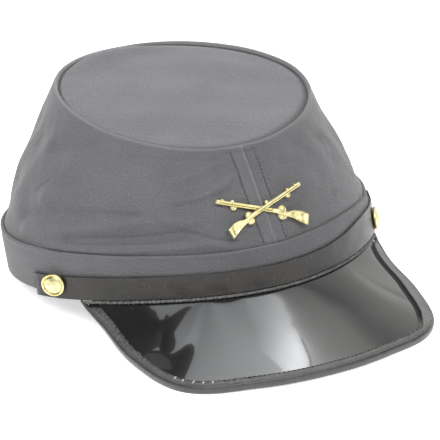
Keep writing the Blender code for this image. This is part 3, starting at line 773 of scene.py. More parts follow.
# The turned-over rim, from where the crown's side ends to its seam with the top, in mm out from
# that seam and up from it.
LipRow = namedtuple("LipRow", "step out up")
LIP = (
    LipRow(0, 3.2, -1.2),
    LipRow(1, 2.75, -0.15),
    LipRow(2, 2.35, 0.75),
    LipRow(3, 1.95, 1.35),
    LipRow(4, 1.4, 1.55),
    LipRow(5, 0.9, 1.3),
    LipRow(6, 0.5, 0.55),
    LipRow(7, 0.2, -0.5),
    LipRow(8, 0.1, -1.5),
)
# The rim's two rows below that seam, where it turns back inside the crown, in mm out and up.
LIP_UNDER = ((0.15, -2.2), (1.28, -2.6))
INNER_TOP = 0.94
# The back of the top swells over its rim, towards the wearer's right, by this many mm.
TOP_BULGE = 2.6
TOP_BULGE_AT = radians(-160)
TOP_BULGE_HALF = radians(26)
# Radius of the crown's front at the band, and how much less it is at the rim
FRONT_RADIUS_FOOT = 89.0 * MM
FRONT_RADIUS_LOST = 25.5 * MM

SIDE_WAVES = 0.42 * MM
SIDE_WRINKLES = 0.10 * MM
side_waves = soft_waves(7, 14, (5, 26), (0.4, 1.6))
side_wrinkles = soft_waves(11, 16, (18, 70), (1.0, 5.0))
lip_waves = soft_waves(5, 8, (4, 16), (0.0, 0.1))


def crown_angles(count=CROWN_COLUMNS):
    """Angles once round the crown, closer together where its front and back seams run."""
    even = np.linspace(-pi, pi, 4001)
    density = 1 + 3.0 * bump(even, 0.0, radians(9)) + 2.0 * bump(turn_between(even, pi), 0.0, radians(5))
    total = np.concatenate([[0.0], np.cumsum((density[1:] + density[:-1]) / 2)])
    return np.interp(np.arange(count) / count, total / total[-1], even)


def seam_angle(height):
    return SEAM_FOOT + (SEAM_TOP - SEAM_FOOT) * height


def front_radius(height):
    """The distance from the front's centre of curvature, nearly, for widths across the seam."""
    return FRONT_RADIUS_FOOT - FRONT_RADIUS_LOST * np.clip(height, 0.0, 1.0)


def seam_lift(angle, height):
    """Rise of the cloth over its front seam's allowances, grooves, puckers and ridge, and its back seam."""
    across = turn_between(angle, seam_angle(height)) * front_radius(height) / MM
    left, right = across + SEAM_ROWS_OFF / MM, across - SEAM_ROWS_OFF / MM
    rise = 2 * pi * height * CROWN_RISE / STITCH_PITCH
    allowances = 0.55 * (smooth_step(-1.1, 0.3, left) - smooth_step(-0.3, 1.1, right))
    grooves = -0.50 * (0.65 + 0.35 * np.cos(rise)) * (bump(left, 0.0, 0.75) + bump(right, 0.0, 0.75))
    puckers = 0.16 * np.cos(rise / 2.3 + 1.0) * (bump(left, -2.5, 2.0) - bump(right, 2.5, 2.0))
    ridge = 0.55 * bump(across, 0.2, 0.5) - 0.3 * bump(across, 1.0, 0.5)
    back = turn_between(angle, pi) * front_radius(height) / MM
    joined = 0.3 * bump(back, 0.8, 0.7) - 0.6 * bump(back, 0.0, 0.5)
    fade = smooth_step(-0.02, 0.02, height)
    return (allowances + grooves + puckers + ridge + joined) * MM * fade


def cloth_lift(angle, height):
    """Everything the crown's cloth does beyond the plain shape of its solid."""
    inside = np.sqrt(np.clip(np.sin(pi * np.clip(height, 0.0, 1.0)), 0.0, 1.0))
    still = 1 - 0.75 * bump(angle, 0.0, radians(16))
    soft = SIDE_WAVES * side_waves(angle, height) + SIDE_WRINKLES * side_wrinkles(angle, height)
    return soft * inside * still + crease_depth(angle, height) * inside ** 0.5 + seam_lift(angle, height)


def crown_surface(angle, height):
    return crown_point(angle, height, cloth_lift(angle, height))


def crown_side_painted_light(angle, row_count):
    """Painted highlight on the rim's crest, most at the back, and painted shade in its seam with the top;
    painted highlight on the front seam's ridge and, faintly, on the strip beside it.
    """
    painted_light = np.zeros((len(angle), row_count))
    lip = HEM_ROWS + CROWN_ROWS
    step = np.linspace(0, len(LIP) - 1, LIP_ROWS)
    crest_highlight = smooth_step(1.2, 3.2, step) * (1 - smooth_step(6.2, 7.0, step))
    # Painted highlight along the rim's crest and painted shade in the groove where it meets the top.
    painted_light[:, lip:lip + LIP_ROWS] = (0.55 - 0.25 * np.cos(angle)) * crest_highlight - 0.8 * smooth_step(6.6, 7.4, step)
    height = np.concatenate([np.linspace(0, 1, CROWN_ROWS, endpoint=False), np.ones(LIP_ROWS)])
    across = turn_between(angle, seam_angle(height)) * front_radius(height) / MM
    strip = smooth_step(-6.2, -5.0, across) * (1 - smooth_step(-0.4, 0.2, across))
    # Painted highlight on the strip beside the front seam and on its ridge.
    painted_light[:, HEM_ROWS:lip + LIP_ROWS] += 0.06 * strip + 0.4 * bump(across, 0.1, 0.5)
    return painted_light


def lip_rows(angles):
    """The rim, its waves, and how it lies low where the top swells over it."""
    buried = 1 - 0.85 * bump(turn_between(angles, TOP_BULGE_AT), 0.0, TOP_BULGE_HALF)
    rows = []
    for step in np.linspace(0, len(LIP) - 1, LIP_ROWS):
        up = read_table(LIP, "up", step)
        soft = 0.12 * lip_waves(angles, step * 0.4) * smooth_step(0.0, 3.0, step)
        up = (up * buried if up > 0 else up) + soft
        rows.append(tip_point(angles, read_table(LIP, "out", step) * MM, up * MM))
    return rows + [tip_point(angles, out * MM, up * MM) for out, up in LIP_UNDER]


def build_crown_side(material):
    """The crown's wall: up from its hem inside the band, over the rim, and down its inner face."""
    angles = crown_angles()
    hem = edge_height("band_top", angles) - HEM_DEPTH
    foot = band_point(angles, hem, -INSIDE_BAND)
    start = crown_surface(angles, np.zeros_like(angles))
    rows = [foot + (start - foot) * part for part in np.linspace(0, 1, HEM_ROWS, endpoint=False)]
    for height in np.linspace(0, 1, CROWN_ROWS, endpoint=False):
        rows.append(crown_surface(angles, np.full_like(angles, height)))
    rows += lip_rows(angles)
    for height in np.linspace(INNER_TOP, 0, INNER_ROWS):
        soft = SIDE_WAVES * side_waves(angles, height) * np.sqrt(max(sin(pi * height), 0.0))
        rows.append(crown_point(angles, np.full_like(angles, height), soft - CLOTH_THICK))
    rows.append(band_point(angles, hem, -INSIDE_BAND - CLOTH_THICK))
    sections = np.stack(rows, axis=1)
    across = path_length(crown_point(angles, np.full_like(angles, 0.5)))
    along = path_length(sections[len(angles) // 4])
    side = loft("crown_side_cloth", sections, material, "grey_cloth", ("crown_side",), True, (across, along))
    painted_light_layer(side, crown_side_painted_light(angles[:, None], len(rows)))
    return side


def seam_stitches(material):
    """The dark thread of the two rows beside the front seam."""
    runs = []
    for side in (-1, 1):
        for rise in np.arange(STITCHES_FROM, STITCHES_TO, STITCH_PITCH):
            height = np.array((rise, rise + STITCH_LENGTH)) / CROWN_RISE
            angle = seam_angle(height) + side * SEAM_ROWS_OFF / front_radius(height)
            start, end = crown_surface(angle, height)
            step = crown_surface(angle + 0.004, height)[1] - end
            off = unit(np.cross(step, unit(end - start)))
            runs.append((start + off * 0.1 * MM, end + off * 0.1 * MM, off))
    return thread_piece("seam_stitches", runs, STITCH_RADIUS, material, "grey_cloth")


# ---- crown top ----

TOP_COLUMNS = 300
TOP_ROWS = 84
TOP_CROWDING = 1.25
TOP_MIDDLE = 0.001
# Rise of the tip's middle in mm, and the few rings of its underside
TOP_DOME = 0.9
TOP_UNDER_PARTS = (TOP_MIDDLE, 0.5, 0.85, 1.0)
TOP_UNDER_DROP = 0.8 * MM

top_waves = soft_waves(23, 10, (1, 7), (0.3, 1.3))
top_puckers = soft_waves(29, 10, (22, 64), (0.0, 0.4))


def top_face(turn, inward):
    """The tip's upper face: sunk at its seam, puckered along it, swollen at its back, softly sagging."""
    edge = (1 - inward) * TIP_HALF_LENGTH / MM
    ahead, aside = np.cos(turn) * inward, np.sin(turn) * inward
    sunk = -0.9 - 0.4 * ahead + (0.6 - 0.1 * ahead) * smooth_step(-0.5, 5.5, edge)
    dome = TOP_DOME * (1 - inward ** 2)
    soft = 0.45 * top_waves(ahead * 2.2 + 0.7, aside * 1.4) * smooth_step(0, 14, edge)
    pucker = 0.05 * top_puckers(turn, inward) * bump(edge, 4.0, 4.0)
    bulge = TOP_BULGE * bump(inward, 0.93, 0.12)
    bulge = bulge * bump(turn_between(turn, TOP_BULGE_AT), 0.0, TOP_BULGE_HALF)
    free = smooth_step(0.0, 1.2, edge)
    return tip_point(turn, -GAP * 0.4, (sunk + dome + (soft + pucker + bulge) * free) * MM, inward)


def top_seam_shade(turn, inward):
    """Painted shade in the seam's hollow, widest along the front."""
    front = np.clip(np.cos(turn), 0.0, 1.0)
    edge = (1 - inward) * TIP_HALF_LENGTH / MM
    return (0.1 * front - 0.8) * (1 - smooth_step(0.3 + 1.2 * front, 1.5 + 5.0 * front, edge))


def build_crown_top(material):
    """The oval tip, in lines from the middle of its plain underside round to that of its upper face."""
    turn = np.linspace(-pi, pi, TOP_COLUMNS, endpoint=False)[:, None]
    inward = np.maximum(1 - np.linspace(0, 1, TOP_ROWS) ** TOP_CROWDING, TOP_MIDDLE)
    under = np.array(TOP_UNDER_PARTS)
    under_up = TOP_DOME * MM * (1 - under ** 2) - CLOTH_THICK - TOP_UNDER_DROP
    lines = np.concatenate([tip_point(turn, -GAP, under_up, under), top_face(turn, inward)], axis=1)
    verts, count = lines.reshape(-1, 3), lines.shape[1]
    faces = grid_faces(TOP_COLUMNS, count, True, False)[0].tolist()
    faces += [[line * count + spot for line in range(TOP_COLUMNS)] for spot in (count - 1, 0)]
    corner_uv = verts[[spot for face in faces for spot in face], :2] / MM
    slot, stands_for = "grey_cloth_top", ("crown_top",)
    piece = mesh_piece("crown_top_cloth", verts, faces, material, slot, stands_for, corner_uv)
    painted_light_layer(piece, np.concatenate([0 * turn * under, top_seam_shade(turn, inward)], axis=1))
    return piece


# ---- band ----

BAND_COLUMNS = 420
# Nominal height in mm of its outline, which is stretched between its two edges
BAND_TALL = 22.0

band_waves = soft_waves(31, 12, (5, 30), (0.0, 0.9))


def strip_outline(front, back, tall, radius, steps, spacing):
    """A closed outline of (off, height) points between two faces, with round corners, in mm."""
    corners = np.array(((front, 0.0), (front, tall), (back, tall), (back, 0.0)))
    points = []
    for before, corner, after in zip(np.roll(corners, 1, axis=0), corners, np.roll(corners, -1, axis=0)):
        start, end = corner + unit(before - corner) * radius, corner + unit(after - corner) * radius
        for t in np.linspace(0, 1, steps + 1):
            points.append(start * (1 - t) ** 2 + corner * 2 * t * (1 - t) + end * t * t)
        room = np.linalg.norm(after - corner) - 2 * radius
        extra = int(room / spacing)
        points += [end + unit(after - corner) * room * k / extra for k in range(1, extra)]
    return points


def build_band(material):
    """The head band with its two turned edges; a seam closes it at the back."""
    angles = crown_angles(BAND_COLUMNS)
    low, high = band_bottom(angles), band_top(angles)
    back = turn_between(angles, pi) * band_radius(angles) / MM
    seam = 0.25 * bump(back, 0.7, 0.7) - 0.5 * bump(back, 0.0, 0.5)
    rows = []
    for off, up in strip_outline(0.0, -BAND_THICK / MM, BAND_TALL, 0.85, 5, 0.9):
        part = up / BAND_TALL
        front = smooth_step(-BAND_THICK / MM, -0.8, off)
        wave = 0.16 * band_waves(angles, part) * smooth_step(0.0, 0.3, part)
        turned = -0.28 * bump(up, 19.2, 0.8)
        edge_wave = 0.12 * MM * band_waves(angles, 5.0) * smooth_step(0.9, 1.0, part)
        height = low + (high - low) * part + edge_wave
        rows.append(band_point(angles, height, (off + (wave + turned + seam) * front) * MM))
    sections = np.stack(rows, axis=1)
    across = path_length(band_point(angles, (low + high) / 2))
    uv = across, path_length(sections[0])
    return loft("band_cloth", sections, material, "grey_cloth", ("band",), True, uv)


# ---- strap ----

STRAP_COLUMNS = 300
# Nominal height in mm of its outline, stretched in the same way
STRAP_TALL = 12.0
# Each end of the strap: its last columns in mm from the cut, and how full its section is there.
STRAP_CUT_AT = np.array((0.0, 0.4, 0.62))
STRAP_CUT_FULL = np.array((0.0, 0.6, 0.9))

strap_waves = soft_waves(41, 12, (6, 34), (0.0, 1.2))


def build_strap(material):
    """The vinyl strap over the band's lower half, its ends cut square beyond the buttons."""
    cut = STRAP_CUT_AT * MM / BAND_RADIUS
    even = np.linspace(-STRAP_END, STRAP_END, STRAP_COLUMNS)[4:-4]
    angles = np.concatenate([cut - STRAP_END, even, STRAP_END - cut[::-1]])
    thinned = 1 - np.concatenate([STRAP_CUT_FULL, np.ones(len(even)), STRAP_CUT_FULL[::-1]])
    low = edge_height("strap_bottom", angles) + thinned * 0.45 * MM
    high = strap_top(angles) - thinned * 0.45 * MM
    proud = STRAP_PROUD / MM
    rows = []
    for off, up in strip_outline(proud + STRAP_THICK / MM, proud, STRAP_TALL, 0.4, 4, 0.7):
        part = up / STRAP_TALL
        wave = 0.07 * strap_waves(angles, part) * smooth_step(0.5, 1.4, off)
        lift = off - (off - proud) * thinned * 0.5 + wave
        rows.append(band_point(angles, low + (high - low) * part, lift * MM))
    return loft("chin_strap_vinyl", np.stack(rows, axis=1), material, "strap_vinyl", ("chin_strap",))


# ---- peak ----

PEAK_COLUMNS = 260
PEAK_ROWS = 90
PEAK_UNDER_ROWS = 24
PEAK_WAVES = 0.02 * MM

peak_waves = soft_waves(53, 9, (3, 9), (0.3, 1.2))


def peak_lift(angle, part):
    """Slow waves of the vinyl sheet, which bend what it mirrors; still under the binding."""
    inside = smooth_step(0.0, 0.12, part) * (1 - smooth_step(0.80, 0.92, part))
    inside = inside * (1 - smooth_step(radians(44), radians(54), np.abs(angle)))
    return PEAK_WAVES * peak_waves(angle * 2.0, part) * inside


def peak_row(angles, part, off=0.0):
    """Points across the waved sheet, at or off its top face."""
    part = np.full_like(angles, part)
    return peak_top(angles, part) + sheet_normal(angles, part) * (peak_lift(angles, part) + off)[:, None]


def build_peak(material):
    """The peak's sheet, with the seam allowance that turns up inside the band."""
    angles = np.linspace(-PEAK_END, PEAK_END, PEAK_COLUMNS)
    seam, top = peak_seam(angles), edge_height("band_bottom", angles) + FLANGE_HEIGHT
    under = -INSIDE_BAND - PEAK_THICK
    rows = [band_point(angles, top, -INSIDE_BAND), band_point(angles, seam + 0.9 * MM, -INSIDE_BAND)]
    rows += [peak_row(angles, part) for part in np.linspace(0, 1, PEAK_ROWS)]
    rows += [peak_row(angles, part, -PEAK_THICK) for part in np.linspace(1, 0, PEAK_UNDER_ROWS)]
    rows += [band_point(angles, seam - 0.6 * MM, under), band_point(angles, top, under)]
    return loft("peak_sheet", np.stack(rows, axis=1), material, "peak_vinyl", ("peak",))


# ---- binding ----


def binding_inner(angle):
    """Where the binding ends on the sheet, as a part of its length, and the way off its edge."""
    along = peak_edge(angle + radians(0.5)) - peak_edge(angle - radians(0.5))
    ahead = peak_edge(angle) - peak_top(angle, np.zeros_like(angle))
    length = np.linalg.norm(ahead, axis=-1)
    oblique = np.linalg.norm(np.cross(along, ahead), axis=-1) / (np.linalg.norm(along, axis=-1) * length)
    width = np.minimum(BINDING_WIDTH / oblique, length - BINDING_FROM_SEAM)
    return 1 - width / length, unit(np.cross(np.cross(ahead, along), -along))


# Profile of the binding from its inner edge over the top, round the lip and back under the sheet:
# part of its width (0 inner edge, 1 outer edge) and height off the sheet's top in mm where it lies
# flat, the same two where it gapes, and reach past the sheet's edge in mm.
BindingRow = namedtuple("BindingRow", "part flat gaping_part gaping reach")


def even_row(part, off, reach=0.0):
    """A row that gaping leaves where it is."""
    return BindingRow(part, off, part, off, reach)


BINDING_PROFILE = (
    BindingRow(0.00, 0.12, -0.60, 0.03, 0.0),
    BindingRow(0.01, 0.48, -0.59, 0.08, 0.0),
    BindingRow(0.08, 0.66, -0.55, 0.09, 0.0),
    BindingRow(0.24, 0.70, -0.36, 0.10, 0.0),
    BindingRow(0.33, 0.70, -0.12, 0.12, 0.0),
    BindingRow(0.37, 0.70, -0.07, 1.15, 0.0),
    BindingRow(0.42, 0.72, 0.01, 1.42, 0.0),
    BindingRow(0.47, 0.90, 0.11, 1.28, 0.0),
    BindingRow(0.53, 1.22, 0.23, 1.15, 0.0),
    BindingRow(0.59, 1.26, 0.37, 1.10, 0.0),
    BindingRow(0.66, 0.98, 0.52, 1.10, 0.0),
    BindingRow(0.76, 0.88, 0.70, 1.12, 0.0),
    BindingRow(0.88, 1.08, 0.85, 1.22, 0.0),
    BindingRow(0.96, 1.40, 0.95, 1.42, 0.0),
    even_row(1.00, 1.45, 0.15),
    even_row(1.00, 1.20, 0.6),
    even_row(1.00, 0.60, 0.95),
    even_row(1.00, -0.60, 1.0),
    even_row(1.00, -1.80, 0.9),
    even_row(1.00, -2.70, 0.6),
    even_row(1.00, -3.00, 0.1),
    even_row(0.90, -2.90),
    even_row(0.60, -2.55),
    even_row(0.30, -2.40),
    even_row(0.03, -2.30),
    even_row(0.00, -1.90),
    even_row(0.05, -1.72),
    even_row(0.90, -1.75),
    even_row(1.00, -1.60, 0.3),
    even_row(1.00, 0.00, 0.3),
    BindingRow(0.90, 0.10, 0.90, 0.06, 0.0),
    BindingRow(0.05, 0.08, 0.05, 0.03, 0.0),
)
# Rows of that profile: those that gape (where it gapes they lie as a thin skin reaching further in over
# the sheet, to carry the painted black shadow of the gap), its stitched ridge and its lip.
BINDING_GAPE_ROWS = 5
BINDING_RIDGE_ROW = 8.5
BINDING_LIP_ROW = 13.5
# Rows up to this flat height in mm keep still.
BINDING_STILL_BELOW = 0.3
BINDING_COLUMNS = 660
BINDING_TAIL = radians(2.6)
BINDING_TAIL_UP = 3.0 * MM
BINDING_TAIL_IN = 1.6 * MM

DARK_STITCHES_FROM = radians(-56)
DARK_STITCHES_TO = radians(26)
DARK_STITCH_LENGTH = 1.7 * MM
DARK_STITCH_PITCH = 2.5 * MM
DARK_STITCH_RADIUS = 0.26 * MM
PALE_STITCHES_AT = (-29.9, -28.3, -26.3, -24.4, -22.6)
PALE_STITCH_SLANT = radians(0.45)
PALE_STITCH_RADIUS = 0.42 * MM

binding_waves = soft_waves(61, 12, (20, 110), (0.0, 0.2))
binding_crinkles = soft_waves(67, 18, (120, 330), (0.0, 0.6))


def binding_gape(angle):
    """How far the binding's inner edge stands open along the wearer's left of the peak."""
    return smooth_step(radians(24), radians(30), angle) * (1 - smooth_step(radians(53), radians(57), angle))


def binding_points(all_angles):
    """Rows of the binding's skin; past the peak's ends it runs on up under the strap."""
    angles = np.clip(all_angles, -PEAK_END, PEAK_END)
    turn = np.degrees(angles)
    start, outward = binding_inner(angles)
    gape = binding_gape(angles)
    soft = 0.12 + 0.5 * bump(turn, -20, 9) + 0.5 * bump(turn, 27, 5)
    crinkled = 0.05 + 0.22 * bump(turn, -45, 10) + 0.25 * bump(turn, 24, 5) + 0.16 * bump(turn, -20, 7)
    rows = []
    for number, row in enumerate(BINDING_PROFILE):
        part = start + (1 - start) * (row.part * (1 - gape) + row.gaping_part * gape)
        part = np.maximum(part, np.minimum(start, 0.1))
        crease = 0.30 * binding_waves(angles, row.part) * soft
        crease = (crease + binding_crinkles(angles, row.part * 3) * crinkled) * (1.0 - 0.7 * row.part)
        if number < BINDING_GAPE_ROWS:
            crease = crease * (1 - gape)
        if row.flat <= BINDING_STILL_BELOW:
            crease = 0 * crease
        off = row.flat * (1 - gape) + row.gaping * gape + crease
        point = peak_top(angles, part) + sheet_normal(angles, part) * (off * MM)[:, None]
        rows.append(point + outward * row.reach * MM)
    points = np.stack(rows, axis=1)
    past = (all_angles - angles)[:, None]
    tail = around(angles, -BINDING_TAIL_IN, BINDING_TAIL_UP) * np.abs(past) / BINDING_TAIL
    x, y, height = np.moveaxis(points + tail[:, None], -1, 0)
    turned = x * np.cos(past) - y * np.sin(past), x * np.sin(past) + y * np.cos(past)
    return np.stack([*turned, height], axis=-1)


def build_binding(material):
    end = PEAK_END + BINDING_TAIL
    angles = np.linspace(-end, end, BINDING_COLUMNS)
    points = binding_points(angles)
    uv = binding_gape(angles), np.arange(points.shape[1], dtype=float)
    return loft("peak_binding_vinyl", points, material, "edge_vinyl", ("peak_binding",), uv=uv, flip=True)


def dark_stitches(material):
    """The line of stitches along the binding's inner edge, up to where it gapes."""
    angles = np.linspace(DARK_STITCHES_FROM, DARK_STITCHES_TO, 2400)
    start, _ = binding_inner(angles)
    part = start + (1 - start) * 0.12
    line = peak_top(angles, part) + sheet_normal(angles, part) * 0.76 * MM
    length = path_length(line) * MM
    runs = []
    for at in np.arange(0.5 * MM, length[-1] - 2.0 * MM, DARK_STITCH_PITCH):
        spots = at, at + DARK_STITCH_LENGTH
        ends = np.stack([np.interp(spots, length, line[:, axis]) for axis in range(3)], axis=-1)
        off = sheet_normal(np.array([np.interp(at, length, angles)]), np.array([0.9]))[0]
        runs.append((*ends, off))
    return thread_piece("binding_stitches", runs, DARK_STITCH_RADIUS, material, "edge_vinyl")


def pale_stitches(material):
    """The few thick bar stitches across the binding at the wearer's right corner of the peak."""
    runs = []
    for at in PALE_STITCHES_AT:
        turn = np.array([radians(at) + PALE_STITCH_SLANT, radians(at)])
        start, _ = binding_inner(turn)
        inner, outer = start - (1 - start) * 0.02, start + (1 - start) * 0.46
        first = peak_top(turn, inner)[0] + sheet_normal(turn, inner)[0] * 0.45 * MM
        second = peak_top(turn, outer)[1] + sheet_normal(turn, outer)[1] * 0.95 * MM
        runs.append((first, second, sheet_normal(turn, inner)[0]))
    return thread_piece("binding_pale_stitches", runs, PALE_STITCH_RADIUS, material, "edge_vinyl")


# ---- welt ----

WELT_COLUMNS = 720
WELT_SIDES = 12
# In mm along the welt
WELT_STITCH_PITCH = 2.2


def build_welt(material):
    """The piping along the peak's seam, a folded bias strip with a bump at every stitch."""
    angles = np.linspace(-WELT_TUCKED, WELT_TUCKED, WELT_COLUMNS)
    path = around(angles, band_radius(angles) + WELT_OUT, peak_seam(angles) + WELT_RADIUS + GAP)
    along = unit(np.gradient(path, axis=0))
    side = unit(np.cross(along, np.array((0.0, 0.0, 1.0))))[:, None]
    up = np.cross(side, along[:, None])
    length = path_length(path)
    stitches = np.sin(2 * pi * length / WELT_STITCH_PITCH + 0.8 * np.sin(length * 0.35))
    bumps = 1 + 0.14 * stitches + 0.05 * np.sin(length * 1.7)
    bumps = bumps * smooth_step(-1.0, 5.0, np.minimum(length, length[-1] - length))
    turns = 2 * pi * np.arange(WELT_SIDES)[None, :, None] / WELT_SIDES
    ring = (side * np.cos(turns) + up * np.sin(turns)) * (WELT_RADIUS * bumps)[:, None, None]
    return loft("peak_welt_vinyl", path[:, None] + ring, material, "edge_vinyl", ("peak_welt",))


# ---- brass ----


def spot_on(surface, angle, height, turn_step, rise_step):
    """A point of a surface, and the way off it by two small steps across and up."""
    angle, height = np.array([angle]), np.array([height])
    here = surface(angle, height)[0]
    across = surface(angle + turn_step, height)[0] - here
    rising = surface(angle, height + rise_step)[0] - here
    return here, unit(np.cross(across, rising))


def facing(position, outward):
    """A placing whose Z points outward and whose Y is as near upright as it can be."""
    z_axis = Vector(outward).normalized()
    x_axis = Vector((0.0, 0.0, 1.0)).cross(z_axis).normalized()
    placing = Matrix((x_axis, z_axis.cross(x_axis), z_axis)).transposed().to_4x4()
    placing.translation = Vector(position)
    return np.array(placing)


def placed(placing, points):
    return points @ placing[:3, :3].T + placing[:3, 3]


def star_edge(turn):
    """Radius of the star's outline at a turn from an arm's point."""
    fold = np.abs(turn_between(turn * 5, 0.0)) / 5
    corner = np.array((STAR_INNER * cos(pi / 5), STAR_INNER * sin(pi / 5)))
    step = corner - np.array((STAR_OUTER, 0.0))
    return STAR_OUTER * step[1] / (step[1] * np.cos(fold) - step[0] * np.sin(fold))


BUTTON_COLUMNS = 160
# The button's edge, flat back and shank: distance from its axis, and height in mm.
BUTTON_BACK = (
    (BUTTON_RADIUS, 0.35), (BUTTON_RADIUS * 0.98, 0.12), (BUTTON_RADIUS * 0.94, 0.0),
    (SHANK_RADIUS * 1.25, 0.0), (SHANK_RADIUS, -0.3), (SHANK_RADIUS, -6.2), (SHANK_RADIUS * 0.75, -6.4),
)


def button_face(radius, turn):
    """Height of the button's face: a dome inside a rounded rim, with the ridged star on it."""
    inside = BUTTON_RADIUS - BUTTON_RIM_WIDTH
    dome = BUTTON_FACE + BUTTON_DOME * (1 - (radius / inside) ** 2)
    edge = star_edge(turn - pi / 2)
    ridge = np.clip(1 - radius / edge, 0.0, 1.0)
    star = STAR_STEP * smooth_step(-0.04, 0.06, 1 - radius / edge) + STAR_RIDGE * ridge
    outline = -0.10 * MM * bump(radius / edge, 1.06, 0.06)
    moat = -0.16 * MM * bump(radius, inside - 0.25 * MM, 0.3 * MM)
    return dome + star + outline + moat


def build_button(name, material):
    """A domed button with a rolled rim, facing off the strap, on its shank."""
    button = BUTTONS[name]
    angle = radians(button.angle_deg)
    height = (edge_height("strap_bottom", angle) + strap_top(angle)) / 2 + button.raised * MM
    here, normal = spot_on(band_point, angle, height, 0.01, MM)
    outward = Matrix.Rotation(radians(button.turn_deg), 3, "Z") @ Vector(normal)
    off_band = STRAP_PROUD + STRAP_THICK + button.standing_off * MM
    placing = facing(here + normal * off_band, outward)
    turns = 2 * pi * np.arange(BUTTON_COLUMNS) / BUTTON_COLUMNS
    inside = BUTTON_RADIUS - BUTTON_RIM_WIDTH
    rows = [(out, button_face(out, turns)) for out in (0.02 * MM, *np.linspace(0.12 * MM, inside, 56))]
    for bend in pi * (1 - np.linspace(0.12, 1.0, 10)):
        out = inside + BUTTON_RIM_WIDTH * (0.5 + 0.5 * cos(bend))
        rows.append((out, BUTTON_FACE + BUTTON_RIM_ROUND * sin(bend) + 0 * turns))
    rows += [(out, up * MM + 0 * turns) for out, up in BUTTON_BACK]
    rings = [np.stack([out * np.cos(turns), out * np.sin(turns), up], axis=-1) for out, up in rows]
    return loft(name + "_brass", placed(placing, np.stack(rings)), material, "brass", (name,))


Span = namedtuple("Span", "along low high")
# Side view of one rifle from its muzzle to its butt, in mm off the line of its barrel.
RIFLE_SPANS = (
    Span(0.0, -1.0, 1.0),
    Span(9.0, -1.1, 1.1),
    Span(32.0, -1.2, 1.2),
    Span(36.0, -1.5, 1.0),
    Span(39.0, -1.9, 0.6),
    Span(42.0, -2.4, 1.7),
    Span(46.0, -3.6, 2.0),
    Span(50.0, -4.8, 1.1),
)
Rifle = namedtuple("Rifle", "turn_deg mirrored size crossing_along lift thick")
RIFLES = (
    Rifle(-19.6, False, 1.015, 24.8, 0.0, 1.7),
    Rifle(19.6, True, 0.936, 26.3, 0.7, 1.8),
)


def rifle_height(along, off, low, high, thick):
    """Relief of one rifle in mm: barrel and ramrod, bands, lock, wrist, and the engraved butt."""
    across = (off - low) / (high - low)
    edge = np.minimum(across, 1 - across) * (high - low)
    barrel = np.sqrt(np.clip(1 - ((off - 0.42) / 0.68) ** 2, 0.0, 1.0))
    ramrod = np.sqrt(np.clip(1 - ((off + 0.68) / 0.44) ** 2, 0.0, 1.0))
    front = thick * 0.62 + np.maximum(barrel * 0.75, ramrod * 0.5)
    plate = thick * (0.72 + 0.28 * np.sqrt(np.clip(np.minimum(edge / 0.6, 1.0), 0.0, 1.0)))
    panel = smooth_step(40.5, 42.0, along) * (1 - smooth_step(48.4, 48.7, along))
    panel = panel * smooth_step(0.50, 0.72, edge)
    scroll = np.sin(along * 3.1 + 1.8 * np.sin(off * 2.3)) * np.sin(off * 3.4 + 1.2 * np.sin(along * 1.9))
    plate = plate - panel * (0.14 + 0.12 * smooth_step(-0.2, 0.5, scroll))
    butt_lines = bump(along, 47.0, 0.16) + bump(along, 47.9, 0.16)
    plate = plate - 0.30 * butt_lines * smooth_step(0.5, 0.75, edge)
    lock = 0.25 * bump(along, 34.0, 1.8) * bump(off, 0.0, 0.7)
    blend = smooth_step(29.5, 31.0, along)
    bands = bump(along, 8.4, 0.5) + bump(along, 19.0, 0.45) + bump(along, 29.6, 0.5)
    bands = 0.32 * bands * smooth_step(0.0, 0.25, edge)
    ribs = 0.10 * np.sin(along * 2 * pi)
    return (front + ribs) * (1 - blend) + (plate + lock) * blend + bands


# Round lobes that stand out of a rifle's top or under side, ringed with a raised wire.
Lobe = namedtuple("Lobe", "along off radius height ringed")
RIFLE_LOBES = (
    Lobe(0.7, 0.0, 1.1, 1.6, False),
    Lobe(3.0, 1.0, 0.8, 1.7, False),
    Lobe(8.3, 1.1, 1.0, 1.9, False),
    Lobe(9.4, -1.5, 1.6, 1.3, True),
    Lobe(35.5, 1.1, 2.2, 1.5, True),
    Lobe(36.0, -1.4, 2.5, 1.4, True),
)
BACK_SIGHT = Lobe(22.6, 1.7, 1.2, 1.8, False)
LOBE_SIDES = 32
RING_STANDS = 0.35


def lobe_sections(lobe):
    """A round plate with a domed edge, as rows of points from its foot to its middle."""
    turns = 2 * pi * np.arange(LOBE_SIDES) / LOBE_SIDES
    high = lobe.height
    dish = high - (RING_STANDS if lobe.ringed else 0.0)
    profile = (
        (lobe.radius, 0.0), (lobe.radius, high * 0.7), (lobe.radius - 0.12, high * 0.92),
        (lobe.radius - 0.3, high), (lobe.radius - 0.45, high * 0.97), (lobe.radius - 0.57, dish),
        (0.02, dish + 0.06),
    )
    return np.stack([
        np.stack([lobe.along + out * np.cos(turns), lobe.off + out * np.sin(turns), up + 0 * turns], axis=-1)
        for out, up in profile
    ])


def rifle_shapes(rifle):
    """Closed shapes of one rifle in mm in its own plane, muzzle at the origin."""
    alongs = np.concatenate([np.linspace(0, 30, 160), np.linspace(30.15, 50, 130)])
    across = np.linspace(0, 1, 36)
    low, high = (read_table(RIFLE_SPANS, column, alongs)[:, None] for column in ("low", "high"))
    off = low + (high - low) * across
    along = alongs[:, None] + 0 * off
    top = np.stack([along, off, rifle_height(along, off, low, high, rifle.thick)], axis=-1)
    bottom = top[:, ::-1].copy()
    bottom[..., 2] = 0.0
    lobes = RIFLE_LOBES + ((BACK_SIGHT,) if rifle.mirrored else ())
    return [np.concatenate([top, bottom], axis=1)] + [lobe_sections(lobe) for lobe in lobes]


